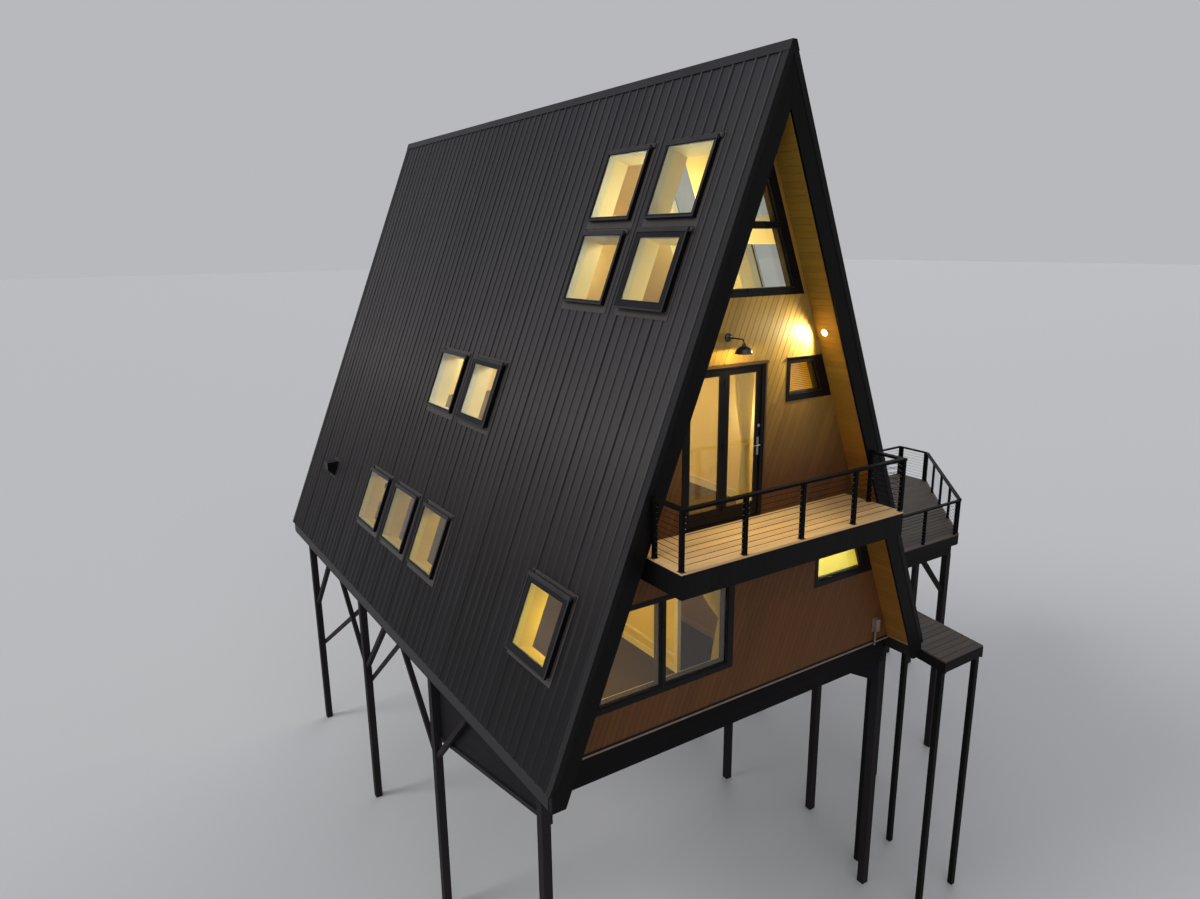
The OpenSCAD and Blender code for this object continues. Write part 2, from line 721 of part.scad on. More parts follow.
// Distance between the lower back windows
back_step = 1.15 * back_win_w;
module back_wall_upper() {
    z0 = main_floor_z;
    color([0.60, 0.36, 0.15]) difference() {
        gable_plate(room_back_y, wall_t,
            [[-inner_x(z0, roof_t), z0], [inner_x(z0, roof_t), z0],
             [inner_x(loft_z, roof_t), loft_z], [-inner_x(loft_z, roof_t), loft_z]]);
        box([-back_half, room_back_y - 1, back_up_z0], [back_half, wall_back_y + 1, door_top_z]);
    }
}

module back_wall_lower() {
    color([0.58, 0.34, 0.15]) difference() {
        gable_plate(room_back_y, wall_t,
            [[-inner_x(wall_z, roof_t), wall_z], [inner_x(wall_z, roof_t), wall_z],
             [inner_x(main_floor_z, roof_t), main_floor_z],
             [-inner_x(main_floor_z, roof_t), main_floor_z]]);
        for (x = [-back_step, 0, back_step])
            box([x - back_half, room_back_y - 1, back_low_z0], [x + back_half, wall_back_y + 1, low_top_z]);
    }
}

// Centres of the back windows as [x, foot, head]
back_windows = [[0, back_up_z0, door_top_z], [-back_step, back_low_z0, low_top_z],
                [0, back_low_z0, low_top_z], [back_step, back_low_z0, low_top_z]];
module back_window_frames() {
    y = frame_y_back;
    color([0.05, 0.05, 0.055]) {
        loft_frame(y);
        for (w = back_windows) difference() {
            box([w[0] - back_half, y, w[1]], [w[0] + back_half, y + frame_d, w[2]]);
            for (s = [-1, 1]) box(
                [w[0] + (s < 0 ? -back_half + frame_w : mullion_w / 2), y - 1, w[1] + sill_w],
                [w[0] + (s < 0 ? -mullion_w / 2 : back_half - frame_w), y + frame_d + 1, w[2] - frame_w]);
        }
    }
}

module back_window_glass() {
    y = pane_y_back;
    color([0.80, 0.86, 0.88, 0.4]) {
        loft_panes(y);
        for (w = back_windows) for (s = [-1, 1]) box(
            [w[0] + (s < 0 ? -back_half + frame_w : mullion_w / 2), y, w[1] + sill_w],
            [w[0] + (s < 0 ? -mullion_w / 2 : back_half - frame_w), y + glass_t, w[2] - frame_w]);
    }
}

// A floor between the walls, its sides on the slope of the ceiling
module floor_slab(top, t) {
    gable_plate(room_front_y, room_back_y - room_front_y,
        [[-inner_x(top - t, roof_t), top - t], [inner_x(top - t, roof_t), top - t],
         [inner_x(top, roof_t), top], [-inner_x(top, roof_t), top]]);
}

module lower_floor() { color([0.55, 0.43, 0.30]) floor_slab(lower_floor_z, lower_floor_z - platform_z); }
module main_floor() { color([0.55, 0.43, 0.30]) floor_slab(main_floor_z, floor_t); }
module loft_floor() { color([0.55, 0.43, 0.30]) floor_slab(loft_floor_z, floor_t); }

// Balcony rim and joists, run back to the wall between the soffits
balcony_top = main_floor_z - deck_t;
module balcony_frame() {
    n = 5;
    w = balcony_left + balcony_right;
    z0 = balcony_top - balcony_rim_h;
    color([0.05, 0.05, 0.055]) {
        difference() {
            box([-balcony_left, -balcony_out, z0], [balcony_right, wall_front_y, balcony_top]);
            box([-balcony_left + joist_w, -balcony_out + joist_w, z0 - 1],
                [balcony_right - joist_w, wall_front_y - joist_w, balcony_top + 1]);
        }
        for (i = [1 : n - 1])
            box([-balcony_left + i * w / n - joist_w / 2, -balcony_out + joist_w / 2, z0 + 60],
                [-balcony_left + i * w / n + joist_w / 2, wall_front_y - joist_w / 2, balcony_top]);
    }
}

module balcony_deck() {
    color([0.70, 0.56, 0.40])
        box([-balcony_left, -balcony_out, balcony_top], [balcony_right, wall_front_y, main_floor_z]);
}

// A railing panel along X from 0 to len, with n bays, standing on z = 0. With first = 1 it has no
// post at its start, and its cables reach on to the post of the panel before it.
module rail_panel(len, n, first = 0) {
    c = rail_post / 2;
    start = first == 0 ? c : -(rail_cap_w - rail_post) / 2;
    for (i = [first : n])
        translate([i * (len - rail_post) / n, -c, 0]) cube([rail_post, rail_post, rail_h - rail_cap_t]);
    box([0, -rail_cap_w / 2, rail_h - rail_cap_t], [len, rail_cap_w / 2, rail_h]);
    for (k = [1 : cable_n])
        translate([start, 0, k * (rail_h - rail_cap_t) / (cable_n + 1)]) rotate([0, 90, 0])
            cylinder(d = cable_d, h = len - c - start, $fn = 16);
}

rail_line = -balcony_out + rail_cap_w / 2;
module balcony_rail_front() {
    len = balcony_left + balcony_right;
    color([0.04, 0.04, 0.045]) translate([-balcony_left, rail_line, main_floor_z]) rail_panel(len, 4);
}

// Side panels from the front panel back to the rake boards
module balcony_rail_sides() {
    y0 = -balcony_out + rail_cap_w + joint_gap;
    len = -trim_t - y0;
    color([0.04, 0.04, 0.045]) for (x = [-balcony_left + rail_cap_w / 2, balcony_right - rail_cap_w / 2])
        translate([x, y0, main_floor_z]) rotate([0, 0, 90]) rail_panel(len, 1, 1);
}

// Square posts from the ground to the long beams
module posts() {
    color([0.09, 0.09, 0.095]) for (x = [-post_x, post_x]) for (y = post_rows)
        box([x - post_w / 2, y - post_w / 2, 0], [x + post_w / 2, y + post_w / 2, long_z]);
}

beam_front = post_rows[0] - post_w / 2;
beam_back = post_rows[3] + post_w / 2;
module long_beams() {
    color([0.08, 0.08, 0.085]) for (x = [-post_x, post_x])
        box([x - post_w / 2, beam_front, long_z], [x + post_w / 2, beam_back, cross_z]);
}

// Cross beams end just inside the ceiling boards
cross_half = inner_x(platform_z, roof_t) - 20;
module cross_beams() {
    color([0.08, 0.08, 0.085]) for (y = post_rows)
        box([-cross_half, y - post_w / 2, cross_z], [cross_half, y + post_w / 2, platform_z]);
}

// A brace in the plane of its outline from a post face to a beam's underside
function brace_points(at, dir, run_len, drop) =
    [[at, long_z - drop], [at, long_z - drop - brace_w * 1.41],
     [at + dir * run_len, long_z], [at + dir * (run_len - brace_w * 1.41), long_z]];
module knee_braces() {
    for (x = [-post_x, post_x]) {
        for (i = [1, 2, 3]) side_plate(x - brace_w / 2, brace_w,
            brace_points(post_rows[i] - post_w / 2, -1, brace_run, brace_drop));
        for (i = [1, 2]) side_plate(x - brace_w / 2, brace_w,
            brace_points(post_rows[i] + post_w / 2, 1, brace_run, brace_drop));
    }
}

// Long braces in the middle and rear bays of each side, on the inner faces of the posts
long_brace_t = 45;
// Each as [post row of the foot, foot height, part of the bay left open, head height]
long_brace_ends = [[2, mid_brace_z, 0.4, long_z + 0.8 * beam_h], [3, long_brace_z, 0, long_z]];
module long_braces() {
    w = brace_w * 1.25;
    for (m = [0, 1]) mirror([m, 0, 0]) for (b = long_brace_ends) {
        ya = post_rows[b[0]] + post_w / 2;
        yb = post_rows[b[0] - 1] - post_w / 2 + b[2] * (post_rows[1] - post_rows[0]);
        side_plate(-post_x + post_w / 2, long_brace_t,
            [[ya, b[1]], [ya, b[1] + w], [yb, b[3]], [yb, b[3] - w]]);
    }
}

module braces() {
    color([0.09, 0.09, 0.095]) {
        knee_braces();
        long_braces();
    }
}

// Dark boards under the gable walls, on the first and last cross beams
module front_skirts() {
    half = post_x - post_w / 2 - joint_gap;
    color([0.06, 0.05, 0.06]) for (y = [beam_front - skirt_t, beam_back])
        box([-half, y, platform_z - front_skirt_h], [half, y + skirt_t, platform_z]);
}

// Boards between the first two post rows, their foot stepped with the ground
module side_skirts() {
    y0 = beam_front;
    y1 = post_rows[1] + post_w / 2;
    color([0.33, 0.33, 0.34]) for (m = [0, 1]) mirror([m, 0, 0])
        side_plate(-post_x + post_w / 2, skirt_t,
            [[y0, skirt_foot_front], [y1, skirt_foot_back], [y1, cross_z], [y0, cross_z]]);
}

// Side deck: a plan with one sloping corner
side_plan = [[side_x0, side_y0], [side_x1, side_y0], [side_x2, side_y0 + side_corner],
             [side_x2, side_y1], [side_x0, side_y1]];
// The same plan with every edge moved in by t
function side_inset(t) = let (d = t * tan(22.5))
    [[side_x0 + t, side_y0 + t], [side_x1 - d, side_y0 + t], [side_x2 - t, side_y0 + side_corner + d],
     [side_x2 - t, side_y1 - t], [side_x0 + t, side_y1 - t]];

module side_deck_frame() {
    n = 14;
    step = (side_x2 - side_x0) / n;
    color([0.06, 0.06, 0.065]) translate([0, 0, side_joist_z]) {
        linear_extrude(side_joist_h) difference() {
            polygon(side_plan);
            polygon(side_inset(joist_w));
        }
        linear_extrude(side_joist_h) intersection() {
            polygon(side_inset(joist_w / 2));
            union() for (i = [1 : n - 1])
                translate([side_x0 + i * step - joist_w / 2, side_y0]) square([joist_w, side_depth]);
        }
    }
}

module side_deck_boards() {
    color([0.56, 0.50, 0.45]) translate([0, 0, side_z - deck_t]) linear_extrude(deck_t) polygon(side_plan);
}

// Side deck beams with the bearers that tie them to the long beam under the eave, and their posts
side_beam_y = [side_y0 + 200, side_y1 - 200];
side_post_near = side_x0 + side_post_in;
side_post_far = side_x1 - 120;
side_post_mid = (side_post_near + side_post_far) / 2;
side_post_end = side_x2 - post_w;
side_post_x = [[side_post_near, side_post_mid, side_post_far],
               [side_post_near, side_post_mid, side_post_far, side_post_end]];
module side_deck_posts() {
    color([0.08, 0.08, 0.085]) {
        for (i = [0, 1]) for (x = side_post_x[i])
            box([x - post_w / 2, side_beam_y[i] - post_w / 2, 0],
                [x + post_w / 2, side_beam_y[i] + post_w / 2, side_beam_z]);
        box([side_post_end - post_w / 2, side_y0 + side_corner - post_w / 2, 0],
            [side_post_end + post_w / 2, side_y0 + side_corner + post_w / 2, side_joist_z]);
    }
}

side_bearer_top = eave_z - 2 * joint_gap;
module side_deck_beams() {
    color([0.08, 0.08, 0.085]) for (i = [0, 1]) {
        y0 = side_beam_y[i] - post_w / 2;
        y1 = side_beam_y[i] + post_w / 2;
        box([side_x0, y0, side_beam_z], [(i == 0 ? side_x1 : side_x2) - rail_inset, y1, side_joist_z]);
        box([post_x + post_w / 2, y0, side_bearer_top - side_bearer_h], [side_x0, y1, side_bearer_top]);
        box([side_x0, y0, side_bearer_top - side_bearer_h],
            [side_post_near - post_w / 2, y1, side_joist_z]);
    }
}

module side_deck_braces() {
    d = brace_w * sqrt(2);
    z = side_beam_z - side_brace_reach;
    color([0.08, 0.08, 0.085]) for (i = [0, 1]) for (x = side_post_x[i]) if (x > side_post_near) {
        face = x - post_w / 2;
        gable_plate(side_beam_y[i] - brace_w / 2, brace_w,
            [[face, z], [face, z - d], [face - side_brace_reach, side_beam_z],
             [face - side_brace_reach + d, side_beam_z]]);
    }
}

// Railing panels on the four open sides of the side deck
module side_deck_rails() {
    c = rail_cap_w / 2;
    g = rail_cap_w + joint_gap;
    diag = side_corner * sqrt(2);
    front_x = ramp_x0 + ramp_w + rail_inset;
    color([0.04, 0.04, 0.045]) translate([0, 0, side_z]) {
        translate([front_x, side_y0 + c, 0]) rail_panel(side_x1 - front_x - g, 3);
        translate([side_x1, side_y0, 0]) rotate([0, 0, 45]) translate([g / 2, c, 0])
            rail_panel(diag - g, 4);
        translate([side_x2 - c, side_y0 + side_corner + g / 2, 0]) rotate([0, 0, 90])
            rail_panel(side_y1 - side_y0 - side_corner - g * 1.6, 1);
        translate([side_x0 + rail_inset, side_y1 - c, 0]) rail_panel(side_x2 - side_x0 - rail_inset, 7);
    }
}

// Ramp between the drive and the side deck
ramp_foot_z = main_floor_z - ramp_foot_drop;
ramp_y0 = -ramp_out;
ramp_y1 = side_y0;
module ramp_frame() {
    z0 = ramp_foot_z - deck_t;
    z1 = ramp_foot_z + ramp_rise - deck_t;
    slope = ramp_rise / (ramp_y1 - ramp_y0);
    color([0.06, 0.06, 0.065]) {
        for (x = [ramp_x0, ramp_x0 + ramp_w - joist_w])
            side_plate(x, joist_w, [[ramp_y0, z0], [ramp_y1, z1], [ramp_y1, z1 - ramp_side_h],
                                    [ramp_y0, z0 - ramp_side_h]]);
        for (t = [0, 0.33, 0.66, 1]) {
            y = ramp_y0 + t * (ramp_y1 - ramp_y0 - joist_w);
            z = z0 + slope * (y - ramp_y0);
            box([ramp_x0 + 1, y, z - ramp_side_h + 20], [ramp_x0 + ramp_w - 1, y + joist_w, z]);
        }
    }
}

// Posts under the ramp stringers, cut to the slope
ramp_post_w = 100;
module ramp_posts() {
    slope = ramp_rise / (ramp_y1 - ramp_y0);
    z0 = ramp_foot_z - deck_t - ramp_side_h;
    w = ramp_post_w;
    color([0.06, 0.06, 0.065]) for (x = [ramp_x0, ramp_x0 + ramp_w - w])
        for (y = [ramp_y0 + rail_inset, (ramp_y0 + ramp_y1) / 2])
            side_plate(x, w, [[y, 0], [y + w, 0], [y + w, z0 + slope * (y + w - ramp_y0)],
                              [y, z0 + slope * (y - ramp_y0)]]);
}

module ramp_boards() {
    z0 = ramp_foot_z - deck_t;
    color([0.56, 0.48, 0.43]) side_plate(ramp_x0, ramp_w,
        [[ramp_y0, z0], [ramp_y1, z0 + ramp_rise], [ramp_y1, z0 + ramp_rise + deck_t],
         [ramp_y0, z0 + deck_t]]);
}

// Wall lamp: round plate, arm and a shade that hangs from it
lamp_plate_r = 62;
arm_r = 11;
shade_h = 120;
module wall_lamp() {
    z = main_floor_z + lamp_z;
    color([0.03, 0.03, 0.03]) translate([-lamp_x, wall_front_y, z]) {
        rotate([90, 0, 0]) cylinder(r = lamp_plate_r, h = 28);
        rotate([90, 0, 0]) cylinder(r = arm_r, h = lamp_reach + arm_r);
        translate([0, -lamp_reach, -75]) cylinder(r = arm_r, h = 75);
        translate([0, -lamp_reach, -75 - shade_h]) rotate_extrude()
            polygon([[0, shade_h], [38, shade_h], [38, shade_h - 45], [shade_r, 18], [shade_r, 0],
                     [shade_r - 6, 0], [shade_r - 6, 16], [32, shade_h - 50], [0, shade_h - 50]]);
    }
}

// Round lamps on the soffits: right one at the front, left one at the back
soffit_lamp_z = 2900;
soffit_lamp_r = 62;
module soffit_lamps() {
    y = wall_front_y / 2 + 60;
    v = (ridge_z - main_floor_z - soffit_lamp_z) / cos(half_angle);
    color([0.85, 0.83, 0.78]) on_slope("right") for (yy = [y, roof_len - y])
        translate([v, yy, -roof_t - 22]) cylinder(r = soffit_lamp_r, h = 22);
}

placed() roof_deck("left");  // roof_deck_left
placed() roof_deck("right");  // roof_deck_right
placed() roof_sheets();
placed() ridge_cap();
placed() ceiling_boards();
placed() rake_boards();
placed() edge_trim();
placed() skylight_frames();
placed() skylight_glass();
placed() roof_hood();
placed() front_wall_upper();
placed() front_wall_middle();
placed() front_wall_band();
placed() front_wall_lower();
placed() front_wall_sill();
placed() loft_casing();
placed() front_window_frames();
placed() front_window_glass();
placed() door_frame();
placed() door_leaves();
placed() door_glass();
placed() back_wall_upper();
placed() back_wall_lower();
placed() back_window_frames();
placed() back_window_glass();
placed() lower_floor();
placed() main_floor();
placed() loft_floor();
placed() balcony_frame();
placed() balcony_deck();
placed() balcony_rail_front();
placed() balcony_rail_sides();
placed() posts();
placed() long_beams();
placed() cross_beams();
placed() braces();
placed() front_skirts();
placed() side_skirts();
placed() side_deck_frame();
placed() side_deck_boards();
placed() side_deck_posts();
placed() side_deck_beams();
placed() side_deck_braces();
placed() side_deck_rails();
placed() ramp_frame();
placed() ramp_posts();
placed() ramp_boards();
placed() wall_lamp();
placed() soffit_lamps();
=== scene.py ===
"""Looks of the A-frame cabin: boards, linings, fittings, finishes, studio and camera.

Metres. Helpers work in the house frame, where x = 0 lies under the ridge, y = 0 at the face of the
front rake boards and z = 0 at the feet of the posts. HOUSE moves it into the row frame.
"""
import json
import math
import random

import bmesh
import bpy
from mathutils import Matrix, Vector


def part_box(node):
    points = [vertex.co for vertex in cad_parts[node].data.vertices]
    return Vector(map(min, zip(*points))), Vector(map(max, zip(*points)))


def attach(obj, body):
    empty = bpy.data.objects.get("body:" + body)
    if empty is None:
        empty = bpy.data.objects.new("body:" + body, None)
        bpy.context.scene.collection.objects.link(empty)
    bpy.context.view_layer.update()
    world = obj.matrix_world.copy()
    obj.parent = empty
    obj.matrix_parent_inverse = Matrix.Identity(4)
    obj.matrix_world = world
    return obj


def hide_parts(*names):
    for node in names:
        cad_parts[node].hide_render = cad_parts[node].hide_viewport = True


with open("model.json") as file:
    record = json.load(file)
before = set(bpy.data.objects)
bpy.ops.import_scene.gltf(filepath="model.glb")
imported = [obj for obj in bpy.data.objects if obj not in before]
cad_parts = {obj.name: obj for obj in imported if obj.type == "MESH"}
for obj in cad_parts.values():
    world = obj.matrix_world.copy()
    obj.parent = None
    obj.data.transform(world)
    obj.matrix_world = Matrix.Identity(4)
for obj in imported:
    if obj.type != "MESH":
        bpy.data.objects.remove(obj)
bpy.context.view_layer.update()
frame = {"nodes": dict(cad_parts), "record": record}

# Sizes of the house, from the frame where it holds them
RAKE_LOW, RAKE_HIGH = (Vector(c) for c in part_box("rake_boards"))
HOUSE = Vector(((RAKE_LOW.x + RAKE_HIGH.x) / 2, RAKE_LOW.y, 0))
EAVE_X = (RAKE_HIGH.x - RAKE_LOW.x) / 2
EAVE_Z = RAKE_LOW.z
LENGTH = RAKE_HIGH.y - RAKE_LOW.y
MAIN_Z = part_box("main_floor")[1][2]
LOWER_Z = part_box("lower_floor")[1][2]
LOFT_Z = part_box("loft_floor")[1][2]
RIDGE_Z = MAIN_Z + 6.73
EDGE_Z = MAIN_Z - 2.99
HALF_ANGLE = math.atan(EAVE_X / (RIDGE_Z - EDGE_Z))
SLOPE_LEN = (RIDGE_Z - EDGE_Z) / math.cos(HALF_ANGLE)
ROOF_T = 0.326
PAN_T = 0.012
WALL_Y = 0.5
WALL_T = 0.165
BACK_Y = LENGTH - WALL_Y
ROOM_Y = WALL_Y + WALL_T
SOFFIT_FOOT_Z = MAIN_Z - 3.02
RIB_H, RIB_PITCH, RIB_FOOT, RIB_TOP, TRIM_W = 0.02, 0.2286, 0.062, 0.026, 0.105
SHEET_W = 4 * RIB_PITCH
# Skylight metal that lies higher over the pans than this is frame, the rest is flashing
FLASHING_RISE = 0.014
SHEET_END = SLOPE_LEN + 0.03 / math.sin(HALF_ANGLE)
WALL_Z = MAIN_Z - 3.025
LOW_TOP = MAIN_Z - 0.893
LOFT_WIN_Z = MAIN_Z + 3.366
RAKE_T = 0.04
# Clearance that keeps faces apart
SKIN = 0.0005

# Openings of the front wall
DOOR_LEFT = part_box("door_frame")[0][0] - HOUSE.x
DOOR_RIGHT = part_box("door_frame")[1][0] - HOUSE.x
DOOR_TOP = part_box("door_frame")[1][2]
SMALL_H = 0.673
MAIN_SMALL_X = 0.635
LOW_SMALL_X = 1.513
BIG_RIGHT = -0.295
BIG_H = 1.565
BIG_MULLION_X = -1.68
# Frames: width, foot and half of a mullion, then how far they stand out and how deep they,
# the panes and the door leaves are, and where the glass ends under the slope and at the right
FRAME_W, FRAME_FOOT, MULLION_HALF = 0.075, 0.1, 0.038
FRAME_PROUD, FRAME_DEEP, PANE_DEEP, LEAF_DEEP = 0.02, 0.095, 0.024, 0.045
GLASS_OFF = ROOF_T + 0.17
LOFT_GLASS_OFF = ROOF_T + 0.072 + 0.138
LOFT_MULLION_Z = MAIN_Z + 4.326
BIG_GLASS_RIGHT = BIG_RIGHT - 0.12
# The balcony door: its sill and posts, then foot rail, stiles and meeting gap of the leaves
DOOR_SILL, DOOR_POST, LEAF_FOOT, LEAF_STILE, LEAF_GAP = 0.031, 0.062, 0.21, 0.082, 0.003
BACK_WIN_W = 1.45
BACK_WIN_H = 1.5
BACK_WIN_STEP = 1.15 * BACK_WIN_W

# Skylights as (distance along the ridge, distance down the slope, venting)
SKY_W, SKY_H, SKY_WALL, SKY_RISE, SKY_PITCH = 1.15, 1.17, 0.048, 0.08, 1.565
SASH_W, SASH_H, SASH_OVER, SKY_FLASH, SKY_APRON = 0.1, 0.025, 0.025, 0.08, 0.12
SKYLIGHTS = (
    (1.4 + SKY_PITCH, 1.86, False), (1.4, 1.86, False),
    (1.4 + SKY_PITCH, 3.235, False), (1.4, 3.235, True),
    (5.43 + SKY_PITCH, 5.68, False), (5.43, 5.68, True),
    (5.68 + 2 * SKY_PITCH, 8.64, False), (5.68 + SKY_PITCH, 8.64, False), (5.68, 8.64, False),
    (1.4, 8.64, True),
)

# Hood on the left slope: middle along the ridge, down the slope, half the plate
HOOD_Y, HOOD_V, HOOD_HALF = 11.90, 8.60, 0.25

# Railings
RAIL_H, RAIL_CAP_T, RAIL_CAP_W, RAIL_POST, CABLES = 0.86, 0.038, 0.084, 0.058, 9

# Boards, the cut corner of the side deck, and the gap between most boards
SIDING_W = 0.105
SIDING_T = 0.012
SOFFIT_W = 0.105
DECK_W = 0.14
DECK_T = 0.032
DECK_CUT = 3.3
BOARD_GAP = 0.002
SIDES = ("left", "right")
# Steps between screws down a rib
SCREW_STEP = 0.61

# Camera solved from the photograph: focal length in pixels of its width, place, heading, dip and roll
IMAGE_W, FOCAL_PX = 1200, 832.06
CAMERA_AT = (-8.627, -8.484, MAIN_Z + 4.178)
HEADING, DIP, ROLL = math.radians(33.11), math.radians(14.12), math.radians(-0.62)
FLOOR_HALF = 400.0
WHITE = (1.0, 1.0, 1.0)
# Share of each channel in the palest boards
WARM = (1.06, 1.0, 0.88)

# Suns as name, strength, angle in degrees and the direction they shine from
SUNS = (
    ("key", 1.35, 24, (-0.78, 0.20, 0.59)),
    ("fill", 0.55, 60, (-0.30, -0.78, 0.55)),
    ("rear", 0.70, 50, (0.66, 0.50, 0.56)),
)

# Lamps as (x, y, z, watts, colour), storey by storey
LAMP_LIGHT, DOOR_LIGHT = (1.0, 0.92, 0.58), (1.0, 0.80, 0.32)
LOW_LIGHT, MAIN_LIGHT = (1.0, 0.80, 0.14), (1.0, 0.68, 0.08)
PALE_LIGHT, LOFT_LIGHT = (1.0, 0.94, 0.76), (1.0, 0.91, 0.56)
ROOM_LAMPS = (
    (1.9, 1.7, LOWER_Z + 1.9, 165, LOW_LIGHT), (-2.5, 1.5, LOWER_Z + 1.1, 46, LOW_LIGHT),
    (-1.7, 4.0, LOWER_Z + 2.0, 110, LOW_LIGHT), (0.6, 7.6, LOWER_Z + 2.0, 255, LOW_LIGHT),
    (0.6, 11.4, LOWER_Z + 2.0, 235, LOW_LIGHT),
    (-0.9, 2.6, MAIN_Z + 2.0, 10, MAIN_LIGHT), (0.2, 1.1, MAIN_Z + 1.5, 10, PALE_LIGHT),
    (-1.0, 1.05, MAIN_Z + 1.7, 30, MAIN_LIGHT),
    (1.3, 2.2, MAIN_Z + 1.9, 58, MAIN_LIGHT),
    (-0.8, 4.6, MAIN_Z + 2.0, 140, PALE_LIGHT), (0.0, 6.9, MAIN_Z + 2.0, 210, PALE_LIGHT),
    (0.0, 11.4, MAIN_Z + 2.0, 300, PALE_LIGHT),
    (-0.1, 1.15, LOFT_Z + 0.6, 36, LOFT_LIGHT),
    (0.0, 2.4, LOFT_Z + 1.5, 80, LOFT_LIGHT), (0.0, 6.9, LOFT_Z + 1.5, 100, LOFT_LIGHT),
    (0.0, 11.4, LOFT_Z + 1.5, 100, LOFT_LIGHT),
)


def inner_x(z, off=ROOF_T):
    """Half width, at height z, of the plane that lies off below the roof surface."""
    return (RIDGE_Z - z) * math.tan(HALF_ANGLE) - off / math.cos(HALF_ANGLE)


def srgb(r, g, b):
    """Linear colour of an 8 bit display colour."""
    return tuple((c / 255 / 12.92) if c < 10.3 else ((c / 255 + 0.055) / 1.055) ** 2.4 for c in (r, g, b))


def scaled(colour, k):
    """The colour, darker or brighter by a factor."""
    return tuple(min(1.0, c * k) for c in colour)


def house_box(node):
    """Corners of a node's box in the house frame."""
    return [Vector(c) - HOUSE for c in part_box(node)]


def add_object(name, data):
    """A new object in the scene, such as a mesh, lamp or camera."""
    made = bpy.data.objects.new(name, data)
    bpy.context.scene.collection.objects.link(made)
    return made


def add_piece(name, mesh, material):
    """A visible piece of the house on the one body."""
    mesh.materials.append(material)
    piece = add_object(name, mesh)
    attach(piece, "root")
    return piece


# Materials

class Tree:
    """A node material: add() makes a node and links or sets its inputs."""

    def __init__(self, name):
        self.material = bpy.data.materials.new(name)
        self.material.use_nodes = True
        self.tree = self.material.node_tree
        self.tree.nodes.clear()
        self.output = self.add("OutputMaterial")
        self.shader = self.add("BsdfPrincipled")
        self.tree.links.new(self.shader.outputs[0], self.output.inputs[0])

    def add(self, kind, inputs=None, **props):
        node = self.tree.nodes.new("ShaderNode" + kind)
        for key, value in props.items():
            setattr(node, key, value)
        for key, value in (inputs or {}).items():
            self.put(node, key, value)
        return node

    def put(self, node, key, value):
        socket = node.inputs[key]
        if isinstance(value, bpy.types.NodeSocket):
            self.tree.links.new(value, socket)
        elif isinstance(value, bpy.types.Node):
            self.tree.links.new(value.outputs[0], socket)
        elif isinstance(value, tuple) and len(value) == 3 and socket.type == "RGBA":
            socket.default_value = (*value, 1)
        else:
            socket.default_value = value

    def set(self, **inputs):
        for key, value in inputs.items():
            self.put(self.shader, key.replace("_", " "), value)

    def place(self):
        return self.add("NewGeometry").outputs["Position"]

    def split(self, vector):
        return self.add("SeparateXYZ", {"Vector": vector}).outputs

    def noise(self, scale, detail, rough=0.55, boards=False):
        """Noise scaled by axis of the house, or along, across and through each board from a random start."""
        place = self.add("Attribute", attribute_name="run").outputs["Vector"] if boards else self.place()
        scale = scale if isinstance(scale, tuple) else (scale, scale, scale)
        vector = self.add("Mapping", {"Vector": place, "Scale": scale})
        inputs = {"Vector": vector, "Scale": 1.0, "Detail": detail, "Roughness": rough}
        return self.add("TexNoise", inputs).outputs["Fac"]

    def ramp(self, fac, stops):
        node = self.add("ValToRGB", {"Fac": fac})
        ramp = node.color_ramp
        for i, (at, colour) in enumerate(stops):
            element = ramp.elements[i] if i < 2 else ramp.elements.new(at)
            element.position = at
            element.color = (*colour, 1)
        return node.outputs["Color"]

    def shades(self, fac, colour, low, high, start=0.3, end=0.7):
        """Ramp between two multiples of a colour."""
        return self.ramp(fac, [(start, scaled(colour, low)), (end, scaled(colour, high))])

    def mix(self, fac, a, b, blend="MIX"):
        """Mix of two colours; sockets 6 and 7 of the node are its colours, output 2 their mix."""
        return self.add("Mix", {0: fac, 6: a, 7: b}, data_type="RGBA", blend_type=blend).outputs[2]

    def math(self, operation, a, b=0.0, c=0.0):
        return self.add("Math", {0: a, 1: b, 2: c}, operation=operation).outputs[0]

    def times(self, a, b):
        return self.math("MULTIPLY", a, b)

    def height(self, low, high):
        """0 at the low height, 1 at the high one, and no further."""
        inputs = {"Value": self.split(self.place())["Z"], "From Min": low, "From Max": high}
        return self.add("MapRange", inputs).outputs["Result"]

    def facing(self, axis, least):
        """1 on faces whose normal lies along the axis of the house, 0 elsewhere."""
        normal = self.split(self.add("NewGeometry").outputs["True Normal"])
        return self.math("GREATER_THAN", self.math("ABSOLUTE", normal[axis]), least)

    def off_roof(self):
        """Height of a point over the plane of the roof pans, on either slope."""
        parts = self.split(self.place())
        side = self.math("ABSOLUTE", self.math("SUBTRACT", parts["X"], HOUSE.x))
        rise = self.times(self.math("SUBTRACT", parts["Z"], RIDGE_Z), math.sin(HALF_ANGLE))
        return self.math("MULTIPLY_ADD", side, math.cos(HALF_ANGLE), rise)

    def translucent(self, colour, share):
        """Lets a share of the light through the cloth."""
        through = self.add("BsdfTranslucent", {"Color": colour})
        mix = self.add("MixShader", {0: share, 1: self.shader, 2: through})
        self.tree.links.new(mix.outputs[0], self.output.inputs[0])

    def bump(self, height, distance, strength):
        node = self.add("Bump", {"Height": height, "Distance": distance, "Strength": strength})
        self.put(self.shader, "Normal", node.outputs[0])


